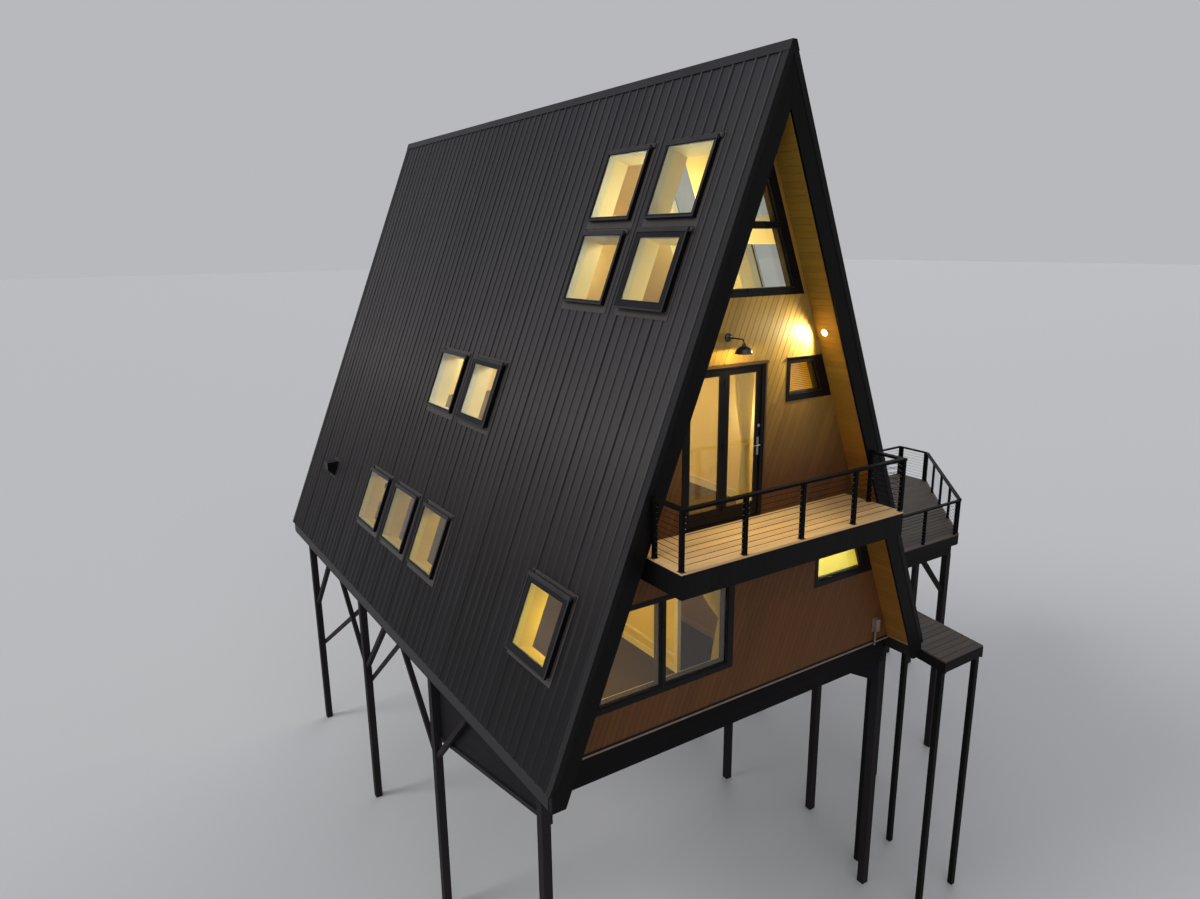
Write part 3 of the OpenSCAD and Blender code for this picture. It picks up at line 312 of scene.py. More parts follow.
def board_wood(name, colour, spread, rough, upper=None):
    """Boards with their own tone, long grain and fine pores; coordinates ride on the mesh. Higher up they
    may take a painted lamp glow.
    """
    t = Tree(name)
    tone = t.add("Attribute", attribute_name="tone").outputs["Fac"]
    grain = t.noise((1.6, 26, 26), 6, 0.6, boards=True)
    pores = t.noise((9, 240, 240), 3, 0.7, boards=True)
    patch = t.noise((0.9, 3.0, 3.0), 2, 0.5, boards=True)
    brighter = tuple(c * w * (1 + spread) for c, w in zip(colour, WARM))
    body = t.ramp(tone, [(0, scaled(colour, 1 - spread)), (1, brighter), (0.5, colour)])
    # Painted lamp glow: higher up the boards turn to the paler, yellower upper colour
    if upper:
        shade = t.shades(tone, upper, 1 - spread, 1 + spread, 0, 1)
        body = t.mix(t.height(MAIN_Z + 0.5, MAIN_Z + 2.6), body, shade)
    body = t.mix(t.times(grain, 0.35), body, scaled(colour, 0.45))
    body = t.mix(t.times(patch, 0.28), body, scaled(colour, 1.35))
    body = t.mix(t.times(t.math("GREATER_THAN", pores, 0.62), 0.22), body, scaled(colour, 0.35))
    t.set(Base_Color=body, Roughness=t.math("MULTIPLY_ADD", grain, 0.25, rough - 0.1),
          Specular_IOR_Level=0.12)
    t.bump(t.math("ADD", grain, t.times(pores, 0.4)), 0.0012, 0.6)
    return t.material


def plain_wood(name, colour, axis, rough=0.6, spread=0.22, lower=None):
    """Stained timber with grain along one axis (0, 1 or 2) of the house."""
    t = Tree(name)
    grain = t.noise(tuple(0.9 if k == axis else 22 for k in range(3)), 6, 0.6)
    broad = t.noise(tuple(0.3 if k == axis else 2.2 for k in range(3)), 3, 0.5)
    base = t.shades(broad, colour, 1 - spread, 1 + spread)
    if lower:
        base = t.mix(t.height(LOWER_Z + 0.2, LOWER_Z + 0.4), lower, base)
    t.set(Base_Color=t.mix(t.times(grain, 0.5), base, scaled(colour, 0.4)),
          Roughness=t.math("MULTIPLY_ADD", grain, 0.2, rough - 0.1), Specular_IOR_Level=0.08)
    t.bump(grain, 0.002, 0.5)
    return t.material


def painted_metal(name, colour, rough, streak, metallic=0.0, peel=0.0004, gloss=0.1,
                  gable=None, flashing=None):
    """Factory paint: faint broad dirt, a little orange peel and uneven gloss. Faces along the gables may
    take a painted shade, and flashings that lie on the roof a colour of their own."""
    t = Tree(name)
    broad = t.noise(streak, 5, 0.6)
    fine = t.noise(90, 2, 0.5)
    base = t.shades(broad, colour, 0.82, 1.18, 0.32)
    if flashing:
        base = t.mix(t.math("GREATER_THAN", t.off_roof(), FLASHING_RISE), flashing, base)
    # Painted shade: faces that look along the ridge take the gable colour
    if gable:
        base = t.mix(t.facing("Y", 0.7), base, gable)
    t.set(Base_Color=base, Metallic=metallic, Roughness=t.math("MULTIPLY_ADD", broad, 0.2, rough - 0.1),
          Specular_IOR_Level=gloss)
    t.bump(fine, peel, 0.5)
    return t.material


def plaster(name, colour, rough=0.8, lower=None):
    """Rolled paint; the lower storey may have a colour of its own."""
    t = Tree(name)
    broad = t.noise(1.2, 3)
    fine = t.noise(60, 3)
    paint = t.shades(broad, colour, 0.94, 1.04)
    if lower:
        paint = t.mix(t.height(MAIN_Z - 0.3, MAIN_Z), lower, paint)
    t.set(Base_Color=paint, Roughness=rough)
    t.bump(fine, 0.0008, 0.4)
    return t.material


def roof_paint():
    """Dark sheet: streaks run down the slope, each sheet has its own tone; painted shade, painted sky
    reflection and painted highlights on the ribs lie over it.
    """
    t = Tree("roof_sheet_paint_shade_highlight")
    y = t.split(t.place())["Y"]
    sheet = t.math("FLOOR", t.math("DIVIDE", t.math("ADD", y, 20.0), SHEET_W))
    tone = t.add("TexWhiteNoise", {"W": sheet}, noise_dimensions="1D").outputs["Value"]
    streak = t.noise((0.25, 14, 0.25), 5, 0.65)
    cloud = t.noise(0.35, 4, 0.6)
    fine = t.noise(70, 2, 0.5)
    base = srgb(58, 56, 58)
    # Painted shade low down and painted sky reflection half way up: darkest at the eave, paler half way up
    stops = ((0, (30, 27, 27)), (1, (55, 55, 60)), (0.2, (43, 39, 38)), (0.46, (80, 75, 75)),
             (0.7, (66, 64, 67)))
    band = t.ramp(t.height(EDGE_Z, RIDGE_Z), [(at, srgb(*colour)) for at, colour in stops])
    body = t.mix(1.0, band, t.shades(cloud, WHITE, 0.84, 1.0, 0.3, 0.72), "MULTIPLY")
    body = t.mix(t.times(streak, 0.24), body, scaled(base, 0.6))
    body = t.mix(t.times(tone, 0.14), body, scaled(base, 1.6))
    along = t.math("DIVIDE", y, LENGTH)
    ends = t.ramp(along, [(0.1, scaled(WHITE, 0.84)), (0.9, WHITE), (0.5, scaled(WHITE, 0.97))])
    body = t.mix(1.0, body, ends, "MULTIPLY")
    # Painted highlight and shade on the flanks of the ribs: pale low down, dark above; painted highlight on
    # the tops of the ribs
    pale = t.shades(along, base, 2.9, 1.3, 0.2, 0.6)
    flank = t.mix(t.height(EDGE_Z + 1.2, EDGE_Z + 3.6), pale, scaled(base, 0.2))
    body = t.mix(t.times(t.facing("Y", 0.3), 0.55), body, flank)
    rib_top_highlight = t.times(t.height(EDGE_Z - 0.5, EDGE_Z + 4.0), 0.32)
    rib_top_highlight = t.times(rib_top_highlight, t.math("GREATER_THAN", t.off_roof(), RIB_H - 0.002))
    body = t.mix(rib_top_highlight, body, scaled(base, 2.2))
    # Painted shade: the front half lies darkest low down
    front_shade = t.times(t.height(EDGE_Z + 4.2, EDGE_Z + 0.8), t.math("SUBTRACT", 1.0, along))
    body = t.mix(t.times(front_shade, 0.55), body, scaled(base, 0.25))
    t.set(Base_Color=body, Roughness=t.math("MULTIPLY_ADD", streak, 0.2, 0.42), Specular_IOR_Level=0.08)
    t.bump(t.math("ADD", t.times(cloud, 3.0), t.times(fine, 0.12)), 0.0025, 0.35)
    return t.material


def clear_glass():
    """Coated panes that dim what is seen through them a little."""
    t = Tree("window_glass")
    tint = t.shades(t.noise(2.5, 2), (0.79, 0.81, 0.77), 0.99, 1.0)
    t.set(Base_Color=tint, Roughness=0.0, IOR=1.45, Transmission_Weight=1.0, Specular_IOR_Level=0.12)
    return t.material


def lamp_glow():
    """Lit bulb and lenses."""
    t = Tree("lamp_glow")
    colour = (1.0, 0.92, 0.70)
    glow = t.shades(t.noise(8, 2), colour, 0.9, 1.0, 0.2, 0.8)
    t.set(Base_Color=scaled(colour, 0.9), Roughness=0.5, Emission_Strength=7.0, Emission_Color=glow)
    return t.material


def curtain_cloth():
    """Plain weave with a soft sheen that lets some light through."""
    t = Tree("curtain_cloth")
    broad = t.noise((3, 3, 0.6), 3, 0.5)
    weave = t.noise(420, 2, 0.6)
    cloth = t.ramp(broad, [(0.3, srgb(236, 222, 150)), (0.72, srgb(248, 236, 168))])
    t.set(Base_Color=cloth, Roughness=0.9, Specular_IOR_Level=0.15, Sheen_Weight=0.3)
    t.bump(weave, 0.0006, 0.5)
    t.translucent(cloth, 0.7)
    return t.material


def vinyl_slat():
    """Pale slats that the room lights from behind."""
    t = Tree("vinyl_slat")
    vinyl = t.ramp(t.noise(5, 3, 0.5), [(0.3, srgb(236, 238, 214)), (0.72, srgb(244, 246, 222))])
    t.set(Base_Color=vinyl, Roughness=0.5, Specular_IOR_Level=0.2)
    t.translucent(vinyl, 0.65)
    return t.material


CREAM, LOW_CREAM = srgb(232, 208, 144), srgb(222, 192, 108)
BLACK_TRIM = srgb(14, 13, 14)
MATERIALS = {
    "roof_steel": roof_paint(),
    # Faces of the trim that look along the ridge take a painted shade
    "trim_steel": painted_metal("trim_paint_gable_shade", srgb(40, 38, 40), 0.45, 0.4, gable=BLACK_TRIM),
    "cap_steel": painted_metal("cap_paint", srgb(44, 43, 47), 0.42, (0.3, 1.2, 0.3)),
    # Faces of the skylight frames that look along the ridge take a painted shade
    "skylight_metal": painted_metal("skylight_cladding_gable_shade", srgb(26, 25, 27), 0.35, 1.5, gable=BLACK_TRIM,
                                    flashing=srgb(72, 67, 66)),
    "window_metal": painted_metal("window_paint", srgb(18, 16, 16), 0.3, 1.5),
    "roof_timber": plain_wood("roof_timber", srgb(38, 34, 32), 1),
    "pine_lining": plaster("ceiling_paint", CREAM, lower=LOW_CREAM),
    "stained_boards": plain_wood("rake_stain", BLACK_TRIM, 2, 0.55, 0.2),
    "siding": plaster("room_wall", CREAM, lower=LOW_CREAM),
    "floor_timber": plain_wood("room_floor", srgb(92, 74, 44), 1, 0.45, lower=srgb(66, 52, 38)),
    "black_timber": plain_wood("black_timber", srgb(19, 18, 19), 2),
    "skirt_boards": plain_wood("grey_skirt", srgb(28, 27, 31), 1, 0.65),
    # Near black: painted shade of the deep shadow under the front wall
    "dark_skirt": plain_wood("dark_skirt", srgb(17, 14, 16), 0, 0.7),
    "deck_boards": board_wood("weathered_deck", srgb(76, 70, 66), 0.2, 0.7),
    # Wood colour raised by a painted glow of the lamps over the balcony
    "balcony_boards": board_wood("balcony_deck_wood_lamp_glow", srgb(206, 170, 122), 0.14, 0.6),
    "rail_metal": painted_metal("rail_paint", BLACK_TRIM, 0.6, 2, gloss=0.03),
    "clear_glass": clear_glass(),
    "lamp_metal": painted_metal("lamp_paint", srgb(18, 17, 16), 0.16, 6, peel=0.0001, gloss=0.6),
    "lamp_white": plaster("lamp_body", srgb(225, 220, 205), 0.35),
}
# Stained boards; the paler, yellower upper colour of siding and soffit is painted lamp glow
SIDING_WOOD = board_wood("siding_stain_lamp_glow", srgb(88, 56, 30), 0.12, 0.46, upper=srgb(166, 132, 62))
SOFFIT_WOOD = board_wood("soffit_stain_lamp_glow", srgb(140, 94, 38), 0.12, 0.46, upper=srgb(152, 124, 48))
TRIM_WOOD = plain_wood("soffit_foot_wood", srgb(150, 118, 74), 1, 0.5)
WELL_PAINT = plaster("well_paint", srgb(236, 222, 176), 0.6, lower=srgb(208, 182, 78))
LINER_PAINT = plaster("liner_paint", srgb(214, 216, 206), 0.45, lower=srgb(210, 202, 118))
# Dark: painted shade of the window reveals
REVEAL_SHADE = plaster("reveal_shade", srgb(62, 50, 36), 0.6)
STOOL_PAINT = plaster("stool_paint", srgb(226, 214, 184), 0.4)
COVER_GREY = painted_metal("skylight_cover", srgb(50, 48, 50), 0.35, 3)
BEAD = painted_metal("glazing_bead", srgb(40, 38, 40), 0.35, 3)
# A darker strip along each sheet lap; the same dark serves the seams of the skirts and the ridge closures
LAP_DARK = painted_metal("dark_strip", srgb(32, 30, 32), 0.6, (1, 9, 1))
SCREW_STEEL = painted_metal("screw_head", srgb(52, 50, 53), 0.45, 30)
STEEL = painted_metal("brushed_steel", srgb(150, 148, 146), 0.3, (40, 40, 3), metallic=1.0, gloss=0.5)
FIXTURE_GREY = painted_metal("fixture_grey", srgb(122, 106, 94), 0.5, 5)
FASCIA_GREY = painted_metal("fascia_grey", srgb(46, 46, 50), 0.5, (1.5, 0.5, 1.5))
SKIRT_RAIL = plain_wood("skirt_rail_grey", srgb(40, 39, 43), 1)
DOOR_BRONZE = painted_metal("door_head_bronze", srgb(74, 56, 38), 0.4, 3)
BLIND_PAINT = painted_metal("blind_slat", srgb(150, 122, 62), 0.45, 4)
CASING_WOOD = plain_wood("casing_stain", srgb(158, 116, 52), 2, 0.46)
POST_WOOD = plain_wood("post_stain", srgb(38, 34, 36), 2, 0.65)
GLOW = lamp_glow()
CLOTH = curtain_cloth()
VINYL = vinyl_slat()

# Nodes whose look departs from the rest of their slot
OWN_LOOK = {"loft_casing": CASING_WOOD, "posts": POST_WOOD, "braces": POST_WOOD,
            "side_deck_posts": POST_WOOD}
SLOTS = {entry["node"]: entry["material_slot"] for entry in frame["record"]["subparts"]}
for node_name, node_object in frame["nodes"].items():
    material = OWN_LOOK.get(node_name) or MATERIALS[SLOTS[node_name]]
    if not node_object.data.materials:
        node_object.data.materials.append(material)
    for index in range(len(node_object.data.materials)):
        node_object.data.materials[index] = material


# Mesh helpers: turns of the first axis onto each axis of the house, and the third axis onto the first
TURNS = [Matrix(rows).to_4x4() for rows in (((1, 0, 0), (0, 1, 0), (0, 0, 1)),
                                            ((0, -1, 0), (1, 0, 0), (0, 0, 1)),
                                            ((0, 0, -1), (0, 1, 0), (1, 0, 0)))]
UPRIGHT = Matrix(((0, 1, 0), (0, 0, 1), (1, 0, 0))).to_4x4()


def rect(x0, y0, x1, y1):
    """Corners of a rectangle, turning left."""
    return [(x0, y0), (x1, y0), (x1, y1), (x0, y1)]


def wall_part(z0, z1, left=None, right=None, off=ROOF_T):
    """Outline on a gable between two heights; a side that isn't given follows the slope."""
    foot, head = ((-inner_x(z, off) if left is None else left, inner_x(z, off) if right is None else right)
                  for z in (z0, z1))
    return [(foot[0], z0), (foot[1], z0), (head[1], z1), (head[0], z1)]


def plane(origin, along, across):
    """Matrix of a plane from its origin and two directions; its third axis is the normal."""
    u, v = Vector(along).normalized(), Vector(across).normalized()
    return Matrix.Translation(origin) @ Matrix((u, v, u.cross(v))).transposed().to_4x4()


def slope_plane(side, off=0.0):
    """Roof slope: first axis along the ridge, second down the slope, origin at the front of the ridge."""
    s = -1 if side == "left" else 1
    down = Vector((s * math.sin(HALF_ANGLE), 0, -math.cos(HALF_ANGLE)))
    out = Vector((s * math.cos(HALF_ANGLE), 0, math.sin(HALF_ANGLE)))
    origin = Vector((0, 0, RIDGE_Z)) + out * off
    return Matrix.Translation(origin) @ Matrix(((0, 1, 0), down, out)).transposed().to_4x4()


def pairs(items):
    """Each item with the next one, and the last with the first."""
    return list(zip(items, items[1:] + items[:1]))


def turning(points):
    """Twice the area of an outline, above zero where its corners turn left."""
    return sum(a.x * b.y - b.x * a.y for a, b in pairs(points))


def bridge(bm, low, high, smooth=False):
    """Faces between two closed rings of vertices."""
    for (a, b), (c, d) in zip(pairs(low), pairs(high)):
        bm.faces.new((a, b, d, c)).smooth = smooth


def inset(points, d):
    """The convex outline with every edge moved in by d, corners turning left."""
    p = [Vector(q) for q in points]
    if turning(p) < 0:
        p.reverse()
    lines = []
    for a, b in pairs(p):
        e = (b - a).normalized()
        lines.append((a + Vector((-e.y, e.x)) * d, e))
    out = []
    for (a, e), (b, f) in zip(lines[-1:] + lines[:-1], lines):
        t = ((b.x - a.x) * f.y - (b.y - a.y) * f.x) / (e.x * f.y - e.y * f.x)
        out.append(a + e * t)
    return out


def studs(name, spots, low_r, top_r, material, height=0.006, sides=6):
    """Many small heads in one mesh, one at each matrix of the house frame."""
    verts, faces = [], []
    ring = [(math.cos(2 * math.pi * k / sides), math.sin(2 * math.pi * k / sides)) for k in range(sides)]
    for m in spots:
        base = len(verts)
        for radius, z in ((low_r, 0), (top_r, height)):
            verts += [HOUSE + m @ Vector((radius * c, radius * n, z)) for c, n in ring]
        faces.append(tuple(range(base + sides, base + 2 * sides)))
        for k in range(sides):
            j = (k + 1) % sides
            faces.append((base + k, base + j, base + sides + j, base + sides + k))
    mesh = bpy.data.meshes.new(name)
    mesh.from_pydata(verts, [], faces)
    add_piece(name, mesh, material)


class Piece:
    """Closed solids in the house frame that become one mesh object."""

    def __init__(self, name, seed):
        self.name = name
        self.bm = bmesh.new()
        self.run = self.bm.verts.layers.float_vector.new("run")
        self.tone = self.bm.faces.layers.float.new("tone")
        self.random = random.Random(seed)

    def prism(self, profile, start, end, place, clip=()):
        """A profile of (across, through) points along the first axis, cut to a convex outline."""
        part = bmesh.new()
        run = part.verts.layers.float_vector.new("run")
        tone = part.faces.layers.float.new("tone")
        shift = self.random.uniform(0, 50)
        value = self.random.random()
        rings = []
        for a in (start, end):
            ring = [part.verts.new((a, b, c)) for b, c in profile]
            for vert in ring:
                vert[run] = (vert.co.x + shift, vert.co.y + shift, vert.co.z)
            rings.append(ring)
        bridge(part, *rings)
        part.faces.new(rings[0][::-1])
        part.faces.new(rings[1])
        for normal, point in clip:
            if not part.verts:
                break
            side = [(v.co - point).dot(normal) for v in part.verts]
            if max(side) <= 1e-6:
                continue
            if min(side) >= -1e-6:
                part.clear()
                break
            geometry = part.verts[:] + part.edges[:] + part.faces[:]
            cut = bmesh.ops.bisect_plane(part, geom=geometry, plane_co=point, plane_no=normal,
                                         clear_outer=True)
            edges = [e for e in cut["geom_cut"] if isinstance(e, bmesh.types.BMEdge)]
            if edges:
                bmesh.ops.edgeloop_fill(part, edges=edges)
        if part.verts:
            bmesh.ops.recalc_face_normals(part, faces=part.faces[:])
            for face in part.faces:
                face[tone] = value
            bmesh.ops.transform(part, matrix=place, verts=part.verts[:])
        self.take(part)

    def take(self, part):
        """Moves a finished solid into the piece."""
        scratch = bpy.data.meshes.new("scratch")
        part.to_mesh(scratch)
        self.bm.from_mesh(scratch)
        bpy.data.meshes.remove(scratch)
        part.free()

    def box(self, low, high, place=Matrix(), axis=0):
        """A plain box between two corners; the grain follows axis."""
        back = TURNS[axis].inverted()
        a, b = back @ Vector(low), back @ Vector(high)
        lo = Vector(map(min, a, b))
        hi = Vector(map(max, a, b))
        self.prism(rect(lo.y, lo.z, hi.y, hi.z), lo.x, hi.x, place @ TURNS[axis])

    def tube(self, start, end, radius, sides=10, place=Matrix(), end_radius=None):
        """A round bar or cone between two points."""
        start, end = Vector(start), Vector(end)
        axis = end - start
        turn = axis.to_track_quat("Z", "Y").to_matrix().to_4x4()
        part = bmesh.new()
        bmesh.ops.create_cone(part, cap_ends=True, segments=sides, radius1=radius,
                              radius2=radius if end_radius is None else end_radius, depth=axis.length,
                              matrix=place @ Matrix.Translation((start + end) / 2) @ turn)
        self.take(part)

    def pipe(self, points, radius, sides=12):
        """A round bar bent along a path of close points."""
        points = [Vector(p) for p in points]
        turns = [2 * math.pi * k / sides for k in range(sides)]
        rings = []
        across = (points[1] - points[0]).orthogonal()
        for i, point in enumerate(points):
            along = (points[min(i + 1, len(points) - 1)] - points[max(i - 1, 0)]).normalized()
            across = (across - along * across.dot(along)).normalized()
            other = along.cross(across)
            rings.append([self.bm.verts.new(point + (across * math.cos(a) + other * math.sin(a)) * radius)
                          for a in turns])
        for a, b in zip(rings, rings[1:]):
            bridge(self.bm, a, b, smooth=True)
        self.bm.faces.new(rings[0][::-1])
        self.bm.faces.new(rings[-1])

    def lathe(self, profile, origin, sides=40):
        """A closed (radius, height) outline turned round the upright; no point lies on the axis."""
        rings = []
        for k in range(sides):
            c, n = math.cos(2 * math.pi * k / sides), math.sin(2 * math.pi * k / sides)
            rings.append([self.bm.verts.new(origin + Vector((r * c, r * n, z))) for r, z in profile])
        for a, b in pairs(rings):
            for (a0, a1), (b0, b1) in zip(pairs(a), pairs(b)):
                self.bm.faces.new((a0, b0, b1, a1)).smooth = True

    def block(self, points, t0, t1, place):
        """A convex outline of the plane, thick from t0 to t1 along its normal."""
        self.prism([tuple(p) for p in points], t0, t1, place @ UPRIGHT)

    def ring(self, points, width, t0, t1, place, step=0.0):
        """A mitred band inside a convex outline; step moves the outline in first."""
        for (a, b), (c, d) in zip(pairs(inset(points, step)), pairs(inset(points, step + width))):
            self.block((a, b, d, c), t0, t1, place)

    def boards(self, place, outline, angle, width, thick, gap, chamfer, max_len=None):
        """Boards over a convex outline of the plane, at an angle from its first axis."""
        points = [Vector((x, y)) for x, y in outline]
        if turning(points) < 0:
            points.reverse()
        ca, sa = math.cos(angle), math.sin(angle)
        local = [Vector((p.x * ca + p.y * sa, -p.x * sa + p.y * ca)) for p in points]
        clip = [(Vector((q.y - p.y, p.x - q.x, 0)).normalized(), Vector((p.x, p.y, 0)))
                for p, q in pairs(local)]
        turn = place @ Matrix.Rotation(angle, 4, "Z")
        lo_a, hi_a = min(p.x for p in local) - 0.01, max(p.x for p in local) + 0.01
        lo_b, hi_b = min(p.y for p in local), max(p.y for p in local)
        half = gap / 2
        for k in range(math.floor(lo_b / width), math.ceil(hi_b / width)):
            b0, b1 = k * width + half, (k + 1) * width - half
            profile = [(b0, 0), (b1, 0), (b1, thick - chamfer), (b1 - chamfer, thick), (b0 + chamfer, thick),
                       (b0, thick - chamfer)]
            cuts = [lo_a, hi_a]
            if max_len:
                at = lo_a + self.random.uniform(0.3, 1.0) * max_len
                while at < hi_a:
                    cuts.insert(-1, at)
                    at += max_len * self.random.uniform(0.85, 1.0)
            for c0, c1 in zip(cuts, cuts[1:]):
                end_gaps = (0.001 if c0 != lo_a else 0), (0.001 if c1 != hi_a else 0)
                self.prism(profile, c0 + end_gaps[0], c1 - end_gaps[1], turn, clip)

    def finish(self, material, replaces=()):
        """Makes the object; it may stand for nodes of the frame."""
        bmesh.ops.translate(self.bm, vec=HOUSE, verts=self.bm.verts[:])
        mesh = bpy.data.meshes.new(self.name)
        self.bm.to_mesh(mesh)
        self.bm.free()
        piece = add_piece(self.name, mesh, material)
        if replaces:
            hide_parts(*replaces)


FRONT = plane((0, WALL_Y, 0), (1, 0, 0), (0, 0, 1))
BACK = plane((0, BACK_Y, 0), (-1, 0, 0), (0, 0, 1))


def wall_regions():
    """Convex outlines of the front siding, as (x, z) corners."""
    small_z, low_small_z = DOOR_TOP - SMALL_H, LOW_TOP - SMALL_H
    return [
        wall_part(DOOR_TOP, LOFT_WIN_Z),
        wall_part(MAIN_Z, DOOR_TOP, right=DOOR_LEFT),
        wall_part(MAIN_Z, small_z, left=DOOR_RIGHT),
        wall_part(small_z, DOOR_TOP, DOOR_RIGHT, MAIN_SMALL_X),
        wall_part(LOW_TOP, MAIN_Z),
        wall_part(WALL_Z, low_small_z, left=BIG_RIGHT),
        wall_part(low_small_z, LOW_TOP, BIG_RIGHT, LOW_SMALL_X),
        wall_part(WALL_Z, LOW_TOP - BIG_H, right=BIG_RIGHT),
    ]


def back_regions():
    """Convex outlines of the back siding, round its windows; mirrored, because the plane faces back."""
    half = BACK_WIN_W / 2
    up_z, low_z = DOOR_TOP - BACK_WIN_H, LOW_TOP - BACK_WIN_H
    paired = [wall_part(up_z, DOOR_TOP, left=half), wall_part(low_z, LOW_TOP, left=BACK_WIN_STEP + half),
              wall_part(low_z, LOW_TOP, half, BACK_WIN_STEP - half)]
    full = [wall_part(LOW_TOP, up_z), wall_part(WALL_Z, low_z)]
    mirrored = [[(-x, z) for x, z in reversed(r)] for r in paired]
    return [wall_part(DOOR_TOP, LOFT_WIN_Z), paired[0], *full, *paired[1:], *mirrored]


def make_siding():
    """Narrow boards parallel to one rake, as on the photographed gable."""
    angle = math.pi / 2 - HALF_ANGLE
    for name, place, regions, seed in (("siding_front", FRONT, wall_regions(), 3),
                                       ("siding_back", BACK, back_regions(), 4)):
        piece = Piece(name, seed)
        for region in regions:
            piece.boards(place, region, angle, SIDING_W, SIDING_T, BOARD_GAP, 0.004)
        piece.finish(SIDING_WOOD)


def make_soffits():
    """Short boards from wall to rake board, laid down both slopes of both overhangs."""
    piece = Piece("soffit_boards", 5)
    foot = Piece("soffit_foot", 6)
    v0 = ROOF_T / math.tan(HALF_ANGLE) + 0.01
    v1 = (RIDGE_Z - ROOF_T * math.sin(HALF_ANGLE) - SOFFIT_FOOT_Z) / math.cos(HALF_ANGLE)
    for side in SIDES:
        # The plane faces down into the overhang: the boards' faces look inward
        flip = slope_plane(side, -ROOF_T) @ Matrix.Scale(-1, 4, (0, 0, 1))
        for y0, y1 in ((RAKE_T, WALL_Y - SIDING_T), (BACK_Y + SIDING_T, LENGTH - RAKE_T)):
            piece.boards(flip, rect(y0, v0, y1, v1), 0.0, SOFFIT_W, 0.008, BOARD_GAP, 0.003)
            foot.box((y0, v1 - 0.05, 0.0082), (y1, v1 + 0.004, 0.02), flip)
    piece.finish(SOFFIT_WOOD)
    foot.finish(TRIM_WOOD)


def deck_piece(name, outline, slot, node, seed, place=None, top=0.0, thick=DECK_T, gap=0.006):
    """Boards in place of the plain slab of a deck."""
    piece = Piece(name, seed)
    place = place or Matrix.Translation((0, 0, top - thick))
    piece.boards(place, outline, 0.0, DECK_W, thick, gap, gap * 2 / 3, max_len=4.2)
    piece.finish(MATERIALS[slot], (node,))


def make_decks():
    """Boards of the balcony, the side deck with its cut corner, and the sloping ramp."""
    low, high = house_box("balcony_deck")
    deck_piece("balcony_boards", rect(low.x, low.y, high.x, high.y), "balcony_boards", "balcony_deck", 7,
               top=high.z, gap=0.003)
    low, high = house_box("side_deck_boards")
    plan = [(low.x, low.y), (high.x - DECK_CUT, low.y), (high.x, low.y + DECK_CUT),
            (high.x, high.y), (low.x, high.y)]
    deck_piece("side_boards", plan, "deck_boards", "side_deck_boards", 8, top=high.z)
    low, high = house_box("ramp_boards")
    rise, run, end_gap = high.z - low.z - DECK_T, high.y - low.y, 0.012
    place = Matrix.Translation((0, low.y, low.z)) @ Matrix.Rotation(math.atan2(rise, run), 4, "X")
    outline = rect(low.x, end_gap, high.x, math.hypot(rise, run) - end_gap)
    deck_piece("ramp_planks", outline, "deck_boards", "ramp_boards", 9, place, thick=DECK_T - 0.001)


def skylights():
    """Every skylight as the place of its slope, its middle and whether it vents."""
    return [(slope_plane(side), y, v, vent) for side in SIDES for y, v, vent in SKYLIGHTS]


def unit(y, v, move):
    """Outline of a skylight round its middle, moved in."""
    w, h = SKY_W / 2 - move, SKY_H / 2 - move
    return rect(y - w, v - h, y + w, v + h)


def make_wells():
    """Linings of the skylight wells: painted boards, and the units' own pale liner above them."""
    boards = Piece("skylight_wells", 11)
    liner = Piece("skylight_liners", 12)
    for place, y, v, vent in skylights():
        well = unit(y, v, SKY_WALL)
        boards.ring(well, 0.012, -ROOF_T - 0.006, -0.07, place)
        liner.ring(well, 0.016, -0.07, SKY_RISE - (0.012 if vent else 0.034), place)
        if vent:
            liner.ring(unit(y, v, SASH_W), 0.016, SKY_RISE - 0.008, SKY_RISE + SASH_H - 0.034, place)
    boards.finish(WELL_PAINT)
    liner.finish(LINER_PAINT)


def make_skylight_trim():
    """Glazing beads, the stepped cover strips and the head covers of the skylights."""
    bead = Piece("skylight_beads", 13)
    cover = Piece("skylight_covers", 14)
    for place, y, v, vent in skylights():
        light, top, reach = (SASH_W, SKY_RISE + SASH_H, SASH_OVER) if vent else (SKY_WALL, SKY_RISE, 0.0)
        bead.ring(unit(y, v, light), 0.006, top - 0.008, top - 0.002, place)
        cover.ring(unit(y, v, -reach), 0.026, top, top + 0.006, place, -0.004)
        # Head cover over the top edge, with its turned ends
        half, v0 = SKY_W / 2 + reach + 0.012, v - SKY_H / 2
        cover.box((y - half, v0 - reach - 0.02, top - 0.03),
                  (y + half, v0 - reach + 0.05, top + 0.012), place)
        for s in (-1, 1):
            end = y + s * (SKY_W / 2 + 0.035)
            cover.box((end - 0.02, v0 - 0.06, 0.008), (end + 0.02, v0 + 0.02, 0.03), place)
    bead.finish(BEAD)
    cover.finish(COVER_GREY)


def open_runs(side, y, reach, start, end):
    """Stretches down the slope at y that pass no skylight flashing and no hood."""
    cuts = [(v - SKY_H / 2 - SKY_FLASH, v + SKY_H / 2 + SKY_APRON) for a, v, _ in SKYLIGHTS
            if abs(y - a) < SKY_W / 2 + SKY_FLASH + reach]
    if side == "left" and abs(y - HOOD_Y) < HOOD_HALF + reach:
        cuts.append((HOOD_V - HOOD_HALF, HOOD_V + HOOD_HALF))
    cuts.sort()
    runs, at = [], start
    for low, high in cuts:
        if low > at:
            runs.append((at, low))
        at = max(at, high)
    runs.append((at, end))
    return runs


def rib_lines():
    """Middles of the ribs along the ridge, as in the frame."""
    low, high = TRIM_W, LENGTH - TRIM_W
    count = math.floor((high - low - RIB_FOOT) / RIB_PITCH)
    first = low + (high - low - count * RIB_PITCH) / 2
    return [first + i * RIB_PITCH for i in range(count + 1)]


